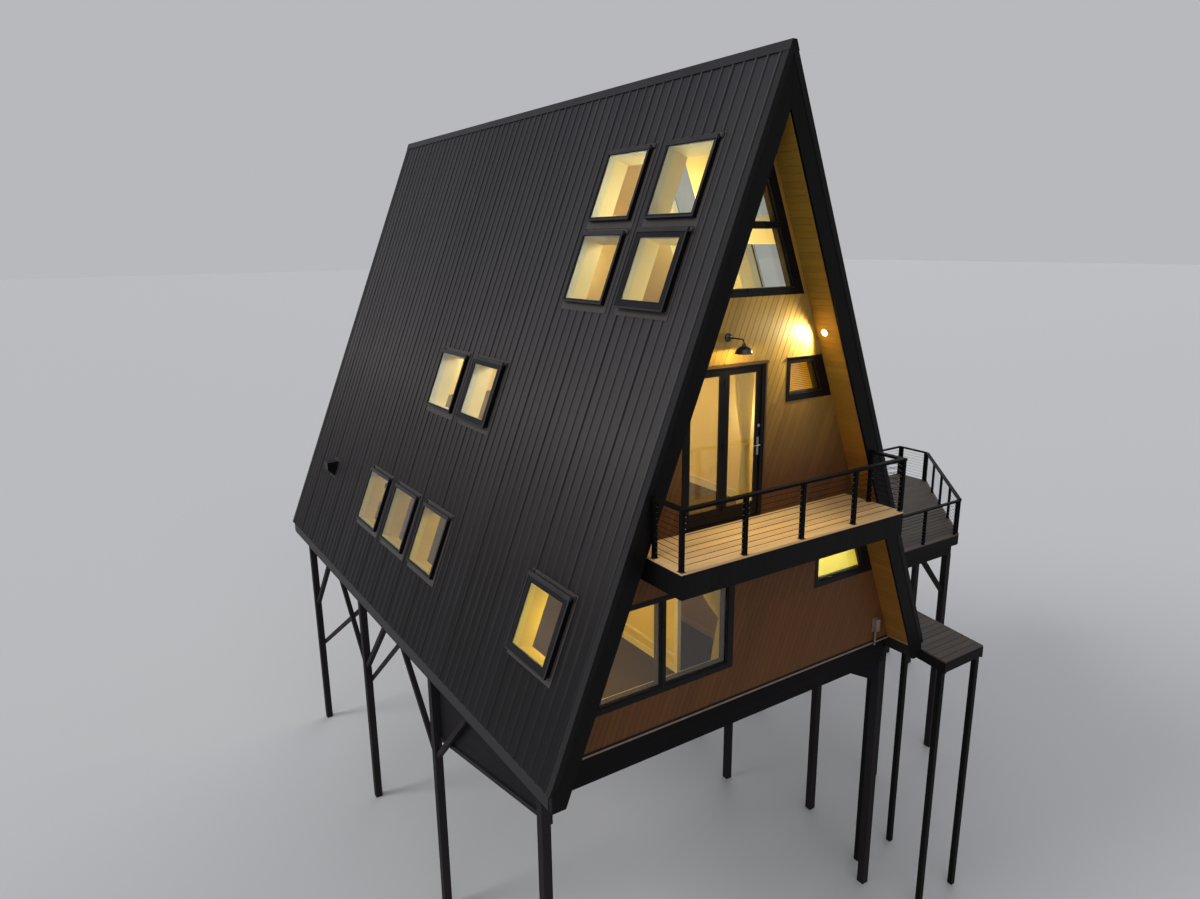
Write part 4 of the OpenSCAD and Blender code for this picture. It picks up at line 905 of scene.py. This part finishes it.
def make_sheet_details():
    """Lapped sheet edges on every fourth rib, screws beside the ribs, and the closure under the cap."""
    laps = Piece("sheet_laps", 15)
    closure = Piece("ridge_closures", 16)
    spots = []
    half = RIB_FOOT / 2
    rise = RIB_H / (half - RIB_TOP / 2)
    edge = 0.009
    # A strip on the pan that turns up the flank of the rib
    profile = [(-half - 0.01, -0.001), (-half, -0.001), (-half + edge, edge * rise - 0.001),
               (-half + edge - 0.001, edge * rise + 0.0025), (-half - 0.001, 0.0025), (-half - 0.01, 0.0025)]
    swing = Matrix(((0, 1, 0), (1, 0, 0), (0, 0, 1))).to_4x4()
    for side in SIDES:
        place = slope_plane(side)
        for i, y in enumerate(rib_lines()):
            if i % 4 == 0 and i > 0:
                for a, b in open_runs(side, y, half, 0.16, SHEET_END):
                    laps.prism([(y + p, q) for p, q in profile], a, b, place @ swing)
            for a, b in open_runs(side, y + half, 0.03, 0.30, SHEET_END - 0.03):
                first, last = math.ceil((a - 0.02) / SCREW_STEP), math.floor((b - 0.02) / SCREW_STEP)
                spots += [place @ Matrix.Translation((y + half + 0.016, k * SCREW_STEP + 0.02, 0.0))
                          for k in range(first, last + 1)]
        closure.box((TRIM_W + 0.005, 0.135, 0.0), (LENGTH - TRIM_W - 0.005, 0.16, RIB_H - SKIN), place)
    laps.finish(LAP_DARK)
    studs("roof_screws", spots, 0.0085, 0.0055, SCREW_STEEL)
    closure.finish(LAP_DARK)


def front_openings():
    """Outlines of the glass of the front windows and door leaves, as (x, z)."""
    z0, z1 = LOFT_WIN_Z + FRAME_FOOT, LOFT_MULLION_Z
    z2 = z1 + 2 * MULLION_HALF
    a0, a1 = LOW_TOP - BIG_H + FRAME_FOOT, LOW_TOP - FRAME_W
    top = (0, RIDGE_Z - LOFT_GLASS_OFF / math.sin(HALF_ANGLE))
    windows = [wall_part(z0, z1, off=LOFT_GLASS_OFF), wall_part(z2, z1, off=LOFT_GLASS_OFF)[:2] + [top]]
    for x, head in ((MAIN_SMALL_X, DOOR_TOP), (LOW_SMALL_X, LOW_TOP)):
        windows.append(wall_part(head - SMALL_H + FRAME_FOOT, head - FRAME_W, x + FRAME_W, off=GLASS_OFF))
    windows.append(wall_part(a0, a1, BIG_MULLION_X + MULLION_HALF, BIG_GLASS_RIGHT))
    windows.append(wall_part(a0, a1, right=BIG_MULLION_X - MULLION_HALF, off=GLASS_OFF))
    mid = (DOOR_LEFT + DOOR_RIGHT) / 2
    d0, d1 = MAIN_Z + DOOR_SILL + LEAF_FOOT, DOOR_TOP - DOOR_POST - LEAF_STILE
    outer, inner = DOOR_POST + LEAF_STILE, LEAF_STILE + LEAF_GAP / 2
    leaves = [rect(DOOR_LEFT + outer, d0, mid - inner, d1), rect(mid + inner, d0, DOOR_RIGHT - outer, d1)]
    return windows, leaves


def make_window_trim():
    """Glazing beads outside, dark reveals inside that carry painted shade, and the flashing over door and
    windows.
    """
    windows, leaves = front_openings()
    # The plane's third axis points to -y, and the glass lies in the middle of its frame
    face = plane((0, 0, 0), (1, 0, 0), (0, 0, 1))
    pane_y = WALL_Y - FRAME_PROUD + (FRAME_DEEP - PANE_DEEP) / 2
    beads = Piece("front_beads", 17)
    reveal = Piece("window_reveals", 18)
    for outline in windows:
        beads.ring(outline, 0.014, -pane_y, -pane_y + 0.018, face)
        reveal.ring(outline, 0.07, -ROOM_Y - 0.012, -WALL_Y - 0.078, face, -0.058)
    for outline in leaves:
        beads.ring(outline, 0.014, -pane_y - SKIN, -pane_y + 0.0095, face)
    beads.finish(BEAD)
    reveal.finish(REVEAL_SHADE)
    stool = Piece("window_stool", 29)
    z = LOW_TOP - BIG_H + FRAME_FOOT
    stool.box((-inner_x(z, GLASS_OFF), WALL_Y + 0.08, z - 0.02), (BIG_GLASS_RIGHT, ROOM_Y + 0.03, z + 0.006))
    stool.finish(STOOL_PAINT)

    head = Piece("door_head", 19)
    y1 = WALL_Y - SIDING_T
    x0, x1, z = DOOR_LEFT + 0.004, DOOR_RIGHT + 0.03, DOOR_TOP
    head.box((x0, y1 - 0.034, z + 0.001), (x1, y1, z + 0.012))
    head.box((x0, y1 - 0.034, z - 0.03), (x1, y1 - 0.026, z + 0.001))
    head.box((DOOR_RIGHT + 0.001, y1 - 0.02, MAIN_Z + 0.03), (DOOR_RIGHT + 0.026, y1, z - 0.001))
    for outline in windows[2:4]:
        x0, x1, z = outline[0][0] - FRAME_W, outline[2][0] + 0.14, outline[2][1] + FRAME_W
        head.box((x0 - 0.01, y1 - 0.03, z + 0.001), (x1, y1, z + 0.01))
    head.finish(DOOR_BRONZE)


def make_eave_faces():
    """Grey metal strip along the upper edge of both plumb eaves, over the boarded front bay."""
    piece = Piece("eave_faces", 30)
    near, far, height, bay_end = EAVE_X + 0.0082, EAVE_X + 0.0102, 0.1, 4.9
    top = RIDGE_Z - (EAVE_X + 0.01 + PAN_T / math.cos(HALF_ANGLE)) / math.tan(HALF_ANGLE)
    for s in (-1, 1):
        x0, x1 = sorted((s * near, s * far))
        piece.box((x0, TRIM_W + 0.01, top - height), (x1, bay_end, top - 0.004))
    piece.finish(FASCIA_GREY)


def make_skirt_trim():
    """Rail along the foot of the side skirts and the upright seam between their boards."""
    rails = Piece("skirt_rails", 31)
    seams = Piece("skirt_seams", 32)
    # The skirt's foot falls from its front corner to its lowest point at the back
    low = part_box("side_skirts")[0][2]
    x, y0, y1, front_z = 3.605, 0.625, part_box("side_skirts")[1][1] - HOUSE.y, low + 0.9
    slope = (low - front_z) / (y1 - y0)
    a, b = 0.78, y1 - 0.155
    thick, height, seam = 0.03, 0.085, 0.014
    for s in (-1, 1):
        place = plane((s * x, 0, 0), (0, 1, 0), (0, 0, 1))
        t0, t1 = (-thick, -SKIN) if s < 0 else (SKIN, thick)
        foot = [(y, front_z + slope * (y - y0)) for y in (a, b)]
        rails.block([foot[0], foot[1], (b, foot[1][1] + height), (a, foot[0][1] + height)], t0, t1, place)
        for y in (1.6, 3.48):
            z = front_z + slope * (y - y0) + 0.09
            seams.box((s * x - 0.004, y - seam, z), (s * x + 0.004, y + seam, EAVE_Z - 0.32))
    rails.finish(SKIRT_RAIL)
    seams.finish(LAP_DARK)


def make_wall_foot():
    """Starter strip and drip edge along the bottom of both gable walls."""
    strip = Piece("wall_foot_trim", 20)
    drip = Piece("wall_foot_drip", 21)
    for y, s in ((WALL_Y, -1), (BACK_Y, 1)):
        for piece, half, proud, z0, z1 in ((strip, inner_x(WALL_Z), 0.022, -0.004, 0.03),
                                           (drip, inner_x(WALL_Z - 0.05), 0.012, -0.045, -0.006)):
            y0, y1 = sorted((y, y + s * proud))
            piece.box((0.012 - half, y0, WALL_Z + z0), (half - 0.012, y1, WALL_Z + z1))
    strip.finish(MATERIALS["trim_steel"])
    drip.finish(FIXTURE_GREY)


def make_fixture():
    """Small weathered box with its conduit at the right foot of the front wall."""
    piece = Piece("wall_box", 22)
    x, z, face = 3.172, WALL_Z + 0.34, WALL_Y - SIDING_T
    # Back plate and box, as half width, front, back and half height
    for w, front, back, h in ((0.062, 0.012, 0.0, 0.13), (0.05, 0.085, 0.01, 0.115)):
        piece.box((x - w, face - front, z - h), (x + w, face - back, z + h))
    # Conduit and its collar, as two heights and a radius
    for z0, z1, radius in ((z - 0.1, WALL_Z - 0.06, 0.016), (WALL_Z + 0.06, WALL_Z + 0.09, 0.021)):
        piece.tube((x, face - 0.03, z0), (x, face - 0.03, z1), radius, 12)
    piece.finish(FIXTURE_GREY)


def turned(x, y, z, degrees=0):
    """A place at a point, turned round the upright."""
    return Matrix.Translation((x, y, z)) @ Matrix.Rotation(math.radians(degrees), 4, "Z")


def rail_panels():
    """Every railing panel as its place, length, number of bays and first post, as in the frame."""
    half, gap = RAIL_CAP_W / 2, RAIL_CAP_W + 0.003
    low, high = house_box("balcony_deck")
    side = -0.008 - low.y - gap
    # The side deck: its top, its edge at the roof, the start of its cut corner, front, back and ramp
    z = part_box("side_deck_boards")[1][2]
    x0, x1, y0, y1, ramp_x = 4.07, 9.0, 2.7, 7.0, 5.25
    x2 = x1 + DECK_CUT
    return [
        (turned(low.x, low.y + half, MAIN_Z), high.x - low.x, 4, 0),
        (turned(low.x + half, low.y + gap, MAIN_Z, 90), side, 1, 1),
        (turned(high.x - half, low.y + gap, MAIN_Z, 90), side, 1, 1),
        (turned(ramp_x, y0 + half, z), x1 - ramp_x - gap, 3, 0),
        (turned(x1, y0, z, 45) @ turned(gap / 2, half, 0), DECK_CUT * math.sqrt(2) - gap, 4, 0),
        (turned(x2 - half, y0 + DECK_CUT + gap / 2, z, 90), y1 - y0 - DECK_CUT - gap * 1.6, 1, 0),
        (turned(x0, y1 - half, z), x2 - x0, 7, 0),
    ]


def make_rail_details():
    """Base plates, bolts and cable end fittings of the railings."""
    plates = Piece("rail_plates", 23)
    ends = Piece("cable_ends", 24)
    bolts = []
    half = RAIL_POST / 2
    # Plates: half length, half width, top and the places of their bolts; fittings: length and radii
    plate_l, plate_w, plate_top, bolt_l, bolt_w = 0.036, 0.045, 0.009, 0.026, 0.037
    reach, wide, slim = 0.035, 0.0085, 0.006
    for place, length, bays, first in rail_panels():
        step = (length - RAIL_POST) / bays
        for i in range(bays + 1):
            # A panel without a first post ends at the corner post of its neighbour
            x = i * step + half if i >= first else -(RAIL_CAP_W - RAIL_POST) / 2 - half
            if i >= first:
                plates.box((x - plate_l, -plate_w, SKIN), (x + plate_l, plate_w, plate_top), place)
                bolts += [place @ Matrix.Translation((x + a, b, plate_top))
                          for a in (-bolt_l, bolt_l) for b in (-bolt_w, bolt_w)]
            for k in range(1, CABLES + 1):
                z = k * (RAIL_H - RAIL_CAP_T) / (CABLES + 1)
                if i < bays:
                    ends.tube((x + half, 0, z), (x + half + reach, 0, z), wide, 6, place, slim)
                if i > 0:
                    ends.tube((x - half - reach, 0, z), (x - half, 0, z), slim, 6, place, wide)
    plates.finish(MATERIALS["rail_metal"])
    ends.finish(STEEL)
    studs("rail_bolts", bolts, 0.008, 0.007, STEEL)


def make_door_handles():
    """Lever on a tall plate, and the hinges of the leaves."""
    piece = Piece("door_handle", 25)
    face_y = WALL_Y - FRAME_PROUD + (FRAME_DEEP - LEAF_DEEP) / 2
    x, z = DOOR_RIGHT - DOOR_POST - LEAF_STILE / 2, MAIN_Z + 1.12
    plate_w, plate_h, lever_z, lever_y = 0.022, 0.14, z + 0.02, face_y - 0.055
    piece.box((x - plate_w, face_y - 0.009, z - plate_h), (x + plate_w, face_y, z + plate_h))
    # Neck and lever, and the lock above them
    piece.tube((x, face_y - 0.06, lever_z), (x, face_y - 0.008, lever_z), 0.011, 12)
    piece.tube((x + 0.006, lever_y, lever_z), (x - 0.12, lever_y, lever_z), 0.009, 12)
    piece.tube((x, face_y - 0.02, z + 0.32), (x, face_y, z + 0.32), 0.026, 20)
    piece.finish(STEEL)
    hinge = Piece("door_hinges", 26)
    y = face_y - 0.008
    for x in (DOOR_LEFT + DOOR_POST, (DOOR_LEFT + DOOR_RIGHT) / 2):
        for z in (MAIN_Z + 0.25, MAIN_Z + 1.2, MAIN_Z + 2.15):
            hinge.tube((x, y, z - 0.05), (x, y, z + 0.05), 0.008, 12)
    hinge.finish(MATERIALS["window_metal"])


def blind(name, left, top, count, tilt, material):
    """Level slats behind one of the small windows."""
    piece = Piece(name, 27)
    z0, z1 = top - SMALL_H + FRAME_FOOT, top - FRAME_W
    x0, y, off = left + 0.08, WALL_Y + 0.125, GLASS_OFF + 0.005
    depth, thick, rail_h, rail_d = 0.0135, 0.0008, 0.03, 0.018
    for k in range(count):
        z = z0 + (k + 0.5) * (z1 - z0) / count
        turn = Matrix.Translation((0, y, z)) @ Matrix.Rotation(math.radians(tilt), 4, "X")
        piece.box((x0, -depth, -thick), (inner_x(z, off), depth, thick), turn)
    piece.box((x0, y - rail_d, z1 - 0.002), (inner_x(z1 + rail_h, off), y + rail_d, z1 + rail_h))
    piece.finish(material)


def make_blinds():
    """Half open beside the balcony door, closed at the lower window."""
    blind("window_blinds", MAIN_SMALL_X, DOOR_TOP, 17, -30, BLIND_PAINT)
    blind("lower_blinds", LOW_SMALL_X, LOW_TOP, 21, -74, VINYL)


def folded_row(width, length, folds, count):
    """Plan of one row of gathered cloth: a wave over the width whose own length is the given one."""
    def row(depth):
        return [Vector((width * (k / count - 0.5), depth * math.sin(2 * math.pi * folds * k / count)))
                for k in range(count + 1)]

    low, high = 0.0, 0.3
    for _ in range(40):
        mid = (low + high) / 2
        points = row(mid)
        run = sum((b - a).length for a, b in zip(points, points[1:]))
        low, high = (mid, high) if run < length else (low, mid)
    return row(low)


def curtain(name, y, keys, cut, folds):
    """A gathered curtain through (height, centre, width) keys, each row as long as the cloth is wide."""
    rows, columns = 56, folds * 14
    verts = []
    for r in range(rows + 1):
        z = keys[0][0] + (keys[-1][0] - keys[0][0]) * r / rows
        upper, lower = next((a, b) for a, b in zip(keys, keys[1:]) if z >= b[0] - 1e-6)
        f = (upper[0] - z) / (upper[0] - lower[0])
        # The cloth eases into the tie and falls straight out of it
        f = f ** 1.6 if lower[2] < upper[2] else math.sin(f * math.pi / 2)
        centre = upper[1] + (lower[1] - upper[1]) * f
        width = upper[2] + (lower[2] - upper[2]) * f
        verts += [HOUSE + Vector((centre + p.x, y + p.y, z)) for p in folded_row(width, cut, folds, columns)]
    step = columns + 1
    faces = [(r * step + k, r * step + k + 1, (r + 1) * step + k + 1, (r + 1) * step + k)
             for r in range(rows) for k in range(columns)]
    mesh = bpy.data.meshes.new(name)
    mesh.from_pydata(verts, [], faces)
    mesh.polygons.foreach_set("use_smooth", [True] * len(faces))
    piece = add_piece(name, mesh, CLOTH)


def make_curtains():
    """Curtains behind the large window and the right door leaf, with their rods and ties."""
    y = ROOM_Y + 0.09
    low_z, door_z, drop = MAIN_Z - 0.78, DOOR_TOP + 0.13, 0.015
    low_tie, door_tie = MAIN_Z - 1.72, MAIN_Z + 1.11
    rods = Piece("curtain_rods", 33)
    for x0, x1, z in ((-1.75, 0.02, low_z), (DOOR_LEFT - 0.1, DOOR_RIGHT + 0.12, door_z)):
        rods.tube((x0, y, z), (x1, y, z), 0.011, 12)
        for x in (x0 + 0.05, x1 - 0.05):
            rods.tube((x, ROOM_Y, z), (x, y, z), 0.007, 8)
    rods.finish(MATERIALS["lamp_metal"])
    curtain("curtain_lower", y, [(low_z - drop, -0.50, 0.70), (low_tie, -0.28, 0.15),
                                 (LOWER_Z + 0.02, -0.34, 0.36)], 1.4, 9)
    curtain("curtain_door", y, [(door_z - drop, 0.0, 0.40), (door_tie, 0.075, 0.12),
                                (MAIN_Z + 0.02, 0.06, 0.22)], 1.1, 8)
    ties = Piece("curtain_ties", 34)
    for x, z, half in ((-0.28, low_tie, 0.085), (0.075, door_tie, 0.07)):
        ties.pipe([(x + half * math.cos(a), y + 0.058 * math.sin(a), z)
                   for a in (2 * math.pi * k / 24 for k in range(25))], 0.008, 8)
        ties.tube((x + half, y, z), (x + half + 0.05, ROOM_Y, z + 0.03), 0.005, 8)
    ties.finish(CLOTH)


def add_light(name, kind, energy, colour=WHITE, place=(0, 0, 0), turn=None, hidden=False):
    """A lamp; a hidden one lights the house but shows neither itself nor its reflection."""
    lamp = bpy.data.lights.new(name, kind)
    lamp.energy = energy
    lamp.color = colour
    light = add_object(name, lamp)
    light.location = place
    if turn:
        light.rotation_euler = turn.to_euler()
    if hidden:
        light.visible_camera = light.visible_transmission = light.visible_glossy = False
    return lamp


def make_wall_lamp():
    """Round plate, bent arm and a glossy bell shade, in place of the plain lamp."""
    low, high = house_box("wall_lamp")
    x, y, z = (low.x + high.x) / 2, low.y + 0.13, high.z - 0.062
    piece = Piece("lamp_shade", 35)
    face = WALL_Y - SIDING_T
    bend = 0.05
    piece.tube((x, face, z), (x, face - 0.014, z), 0.062, 36)
    piece.tube((x, face - 0.014, z), (x, face - 0.03, z), 0.05, 36, end_radius=0.026)
    arc = [(x, y + bend - bend * math.sin(a), z - bend + bend * math.cos(a))
           for a in (math.pi / 2 * k / 8 for k in range(9))]
    piece.pipe([(x, face - 0.02, z)] + arc + [(x, y, z - 0.075)], 0.011, 14)
    # The shade as (radius, height), down its outer face and up its inner one
    outer = [(0.02, -0.058), (0.026, -0.06), (0.028, -0.085), (0.040, -0.09), (0.052, -0.097),
             (0.074, -0.108), (0.094, -0.124), (0.108, -0.146), (0.115, -0.170), (0.120, -0.184),
             (0.130, -0.192), (0.130, -0.195)]
    inner = [(0.125, -0.194), (0.114, -0.186), (0.109, -0.171), (0.102, -0.148), (0.089, -0.128),
             (0.070, -0.114), (0.042, -0.104), (0.012, -0.102), (0.012, -0.058)]
    piece.lathe(outer + inner, Vector((x, y, z)))
    piece.finish(MATERIALS["lamp_metal"], ("wall_lamp",))


def make_partition():
    """Inner walls that show through the balcony door and the large window, and their trim."""
    x0, x1, y0, y1 = 0.46, 0.56, ROOM_Y + 0.012, 5.2
    # The lower room: far end of the wall under the upper one, then face and near edge of the left wall
    end, left, near = 2.82, -0.83, 1.23
    low_z, main_z, skirting = LOWER_Z + 0.001, MAIN_Z + 0.001, 0.12
    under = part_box("main_floor")[0][2]
    wall = Piece("room_partition", 36)
    wall.box((x0, y0, main_z), (x1, y1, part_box("loft_floor")[0][2] - 0.001))
    wall.box((x0, y0, low_z), (x1, end, under - 0.001))
    wall.box((left, near, low_z), (left + 0.045, y1, under - 0.001))
    wall.finish(MATERIALS["siding"])
    trim = Piece("room_skirting", 37)

    def strip(x, proud, y_span, z_span, axis=1):
        """Trim on the left face of a wall."""
        trim.box((x - proud, y_span[0], z_span[0]), (x - SKIN, y_span[1], z_span[1]), axis=axis)

    strip(x0, 0.014, (y0, end), (low_z, LOWER_Z + skirting))
    trim.box((left - 0.016, near - 0.02, low_z), (left + 0.051, near - SKIN, under - 0.002), axis=2)
    strip(left, 0.016, (near, near + 0.07), (LOWER_Z + skirting + 0.001, under - 0.002), axis=2)
    strip(left, 0.014, (near, y1), (low_z, LOWER_Z + skirting))
    strip(left, 0.022, (near + 0.07 + SKIN, y1), (LOWER_Z + 0.27, LOWER_Z + 0.31))
    strip(x0, 0.014, (y0, y1), (main_z, MAIN_Z + skirting))
    strip(x0, 0.019, (y0, y1), (MAIN_Z + skirting, MAIN_Z + skirting + 0.015))
    strip(x0, 0.006, (1.965, 2.035), (MAIN_Z + 0.29, MAIN_Z + 0.405), axis=0)
    trim.finish(STOOL_PAINT)


def make_lamps():
    """Bulb of the wall lamp, lenses of the soffit lamps, and their light."""
    low = house_box("wall_lamp")[0]
    bulb = Vector((-0.57, low.y + 0.13, low.z + 0.035))
    glow = Piece("lamp_bulbs", 28)
    bmesh.ops.create_uvsphere(glow.bm, u_segments=20, v_segments=12, radius=0.034,
                              matrix=Matrix.Translation(bulb))
    slope = slope_plane("right")
    inward = -slope.col[2].xyz
    drop = (RIDGE_Z - MAIN_Z - 2.9) / math.cos(HALF_ANGLE)
    spots = [slope @ Vector((y, drop, -ROOF_T - 0.022)) for y in (0.31, LENGTH - 0.31)]
    for spot in spots:
        glow.tube(spot - inward * 0.002, spot + inward * 0.006, 0.05, 28)
    glow.finish(GLOW)
    add_light("wall_lamp_light", "POINT", 48.0, DOOR_LIGHT, HOUSE + bulb - Vector((0, 0, 0.03)),
              hidden=True).shadow_soft_size = 0.03
    for k, spot in enumerate(spots):
        lamp = add_light("soffit_light_%d" % k, "SPOT", 190.0, LAMP_LIGHT, HOUSE + spot + inward * 0.03,
                         inward.to_track_quat("-Z", "Y"))
        lamp.spot_size = math.radians(160)
        lamp.spot_blend = 0.6
        lamp.shadow_soft_size = 0.05


def make_room_lamps():
    """Warm light inside each storey, so that the windows are lit as at dusk."""
    for k, (x, y, z, energy, colour) in enumerate(ROOM_LAMPS):
        add_light("room_lamp_%d" % k, "POINT", energy, colour, HOUSE + Vector((x, y, z)),
                  hidden=True).shadow_soft_size = 0.25
    # Light of the rooms that falls out through the door and lies on the balcony
    centre = Vector(((DOOR_LEFT + DOOR_RIGHT) / 2, WALL_Y - FRAME_PROUD - 0.03, MAIN_Z + 1.2))
    spill = add_light("door_spill", "AREA", 16.0, (1.0, 0.78, 0.42), HOUSE + centre,
                      Vector((0, -1, 0)).to_track_quat("-Z", "Z"), hidden=True)
    spill.shape = "RECTANGLE"
    spill.size, spill.size_y = DOOR_RIGHT - DOOR_LEFT - 0.3, 1.7


def make_stage():
    """Pale floor and world, and three suns."""
    t = Tree("studio_floor_paint")
    t.set(Base_Color=(0.50, 0.50, 0.51), Roughness=0.9)
    mesh = bpy.data.meshes.new("studio_floor")
    mesh.from_pydata([(x, y, 0) for x, y in rect(-FLOOR_HALF, -FLOOR_HALF, FLOOR_HALF, FLOOR_HALF)],
                     [], [(0, 1, 2, 3)])
    mesh.materials.append(t.material)
    add_object("studio_floor", mesh)

    world = bpy.data.worlds.new("studio")
    bpy.context.scene.world = world
    world.use_nodes = True
    nodes = world.node_tree.nodes
    nodes.clear()
    out = nodes.new("ShaderNodeOutputWorld")
    sky = nodes.new("ShaderNodeBackground")
    sky.inputs["Color"].default_value = (0.86, 0.88, 0.92, 1)
    sky.inputs["Strength"].default_value = 0.55
    world.node_tree.links.new(sky.outputs[0], out.inputs[0])

    for name, energy, angle, source in SUNS:
        sun = add_light(name, "SUN", energy, turn=Vector(source).to_track_quat("Z", "Y"))
        sun.angle = math.radians(angle)


def make_camera():
    """Camera solved from the photograph, in the house frame."""
    look = Vector((math.sin(HEADING) * math.cos(DIP), math.cos(HEADING) * math.cos(DIP), -math.sin(DIP)))
    right = Vector((math.cos(HEADING), -math.sin(HEADING), 0))
    up = right.cross(look)
    c, n = math.cos(ROLL), math.sin(ROLL)
    axes = (right * c + up * n, up * c - right * n, -look)
    data = bpy.data.cameras.new("camera")
    data.sensor_fit = "HORIZONTAL"
    data.sensor_width = 36.0
    data.lens = FOCAL_PX / IMAGE_W * data.sensor_width
    data.clip_end = 2000
    camera = add_object("camera", data)
    place = Matrix.Translation(HOUSE + Vector(CAMERA_AT))
    camera.matrix_world = place @ Matrix(axes).transposed().to_4x4()
    bpy.context.scene.camera = camera


for build in (make_camera, make_siding, make_soffits, make_decks, make_wells, make_skylight_trim,
              make_sheet_details, make_window_trim, make_eave_faces, make_skirt_trim, make_wall_foot,
              make_fixture, make_rail_details, make_door_handles, make_blinds, make_curtains, make_partition,
              make_wall_lamp, make_lamps, make_room_lamps, make_stage):
    build()
bpy.context.scene.view_settings.view_transform = "Standard"
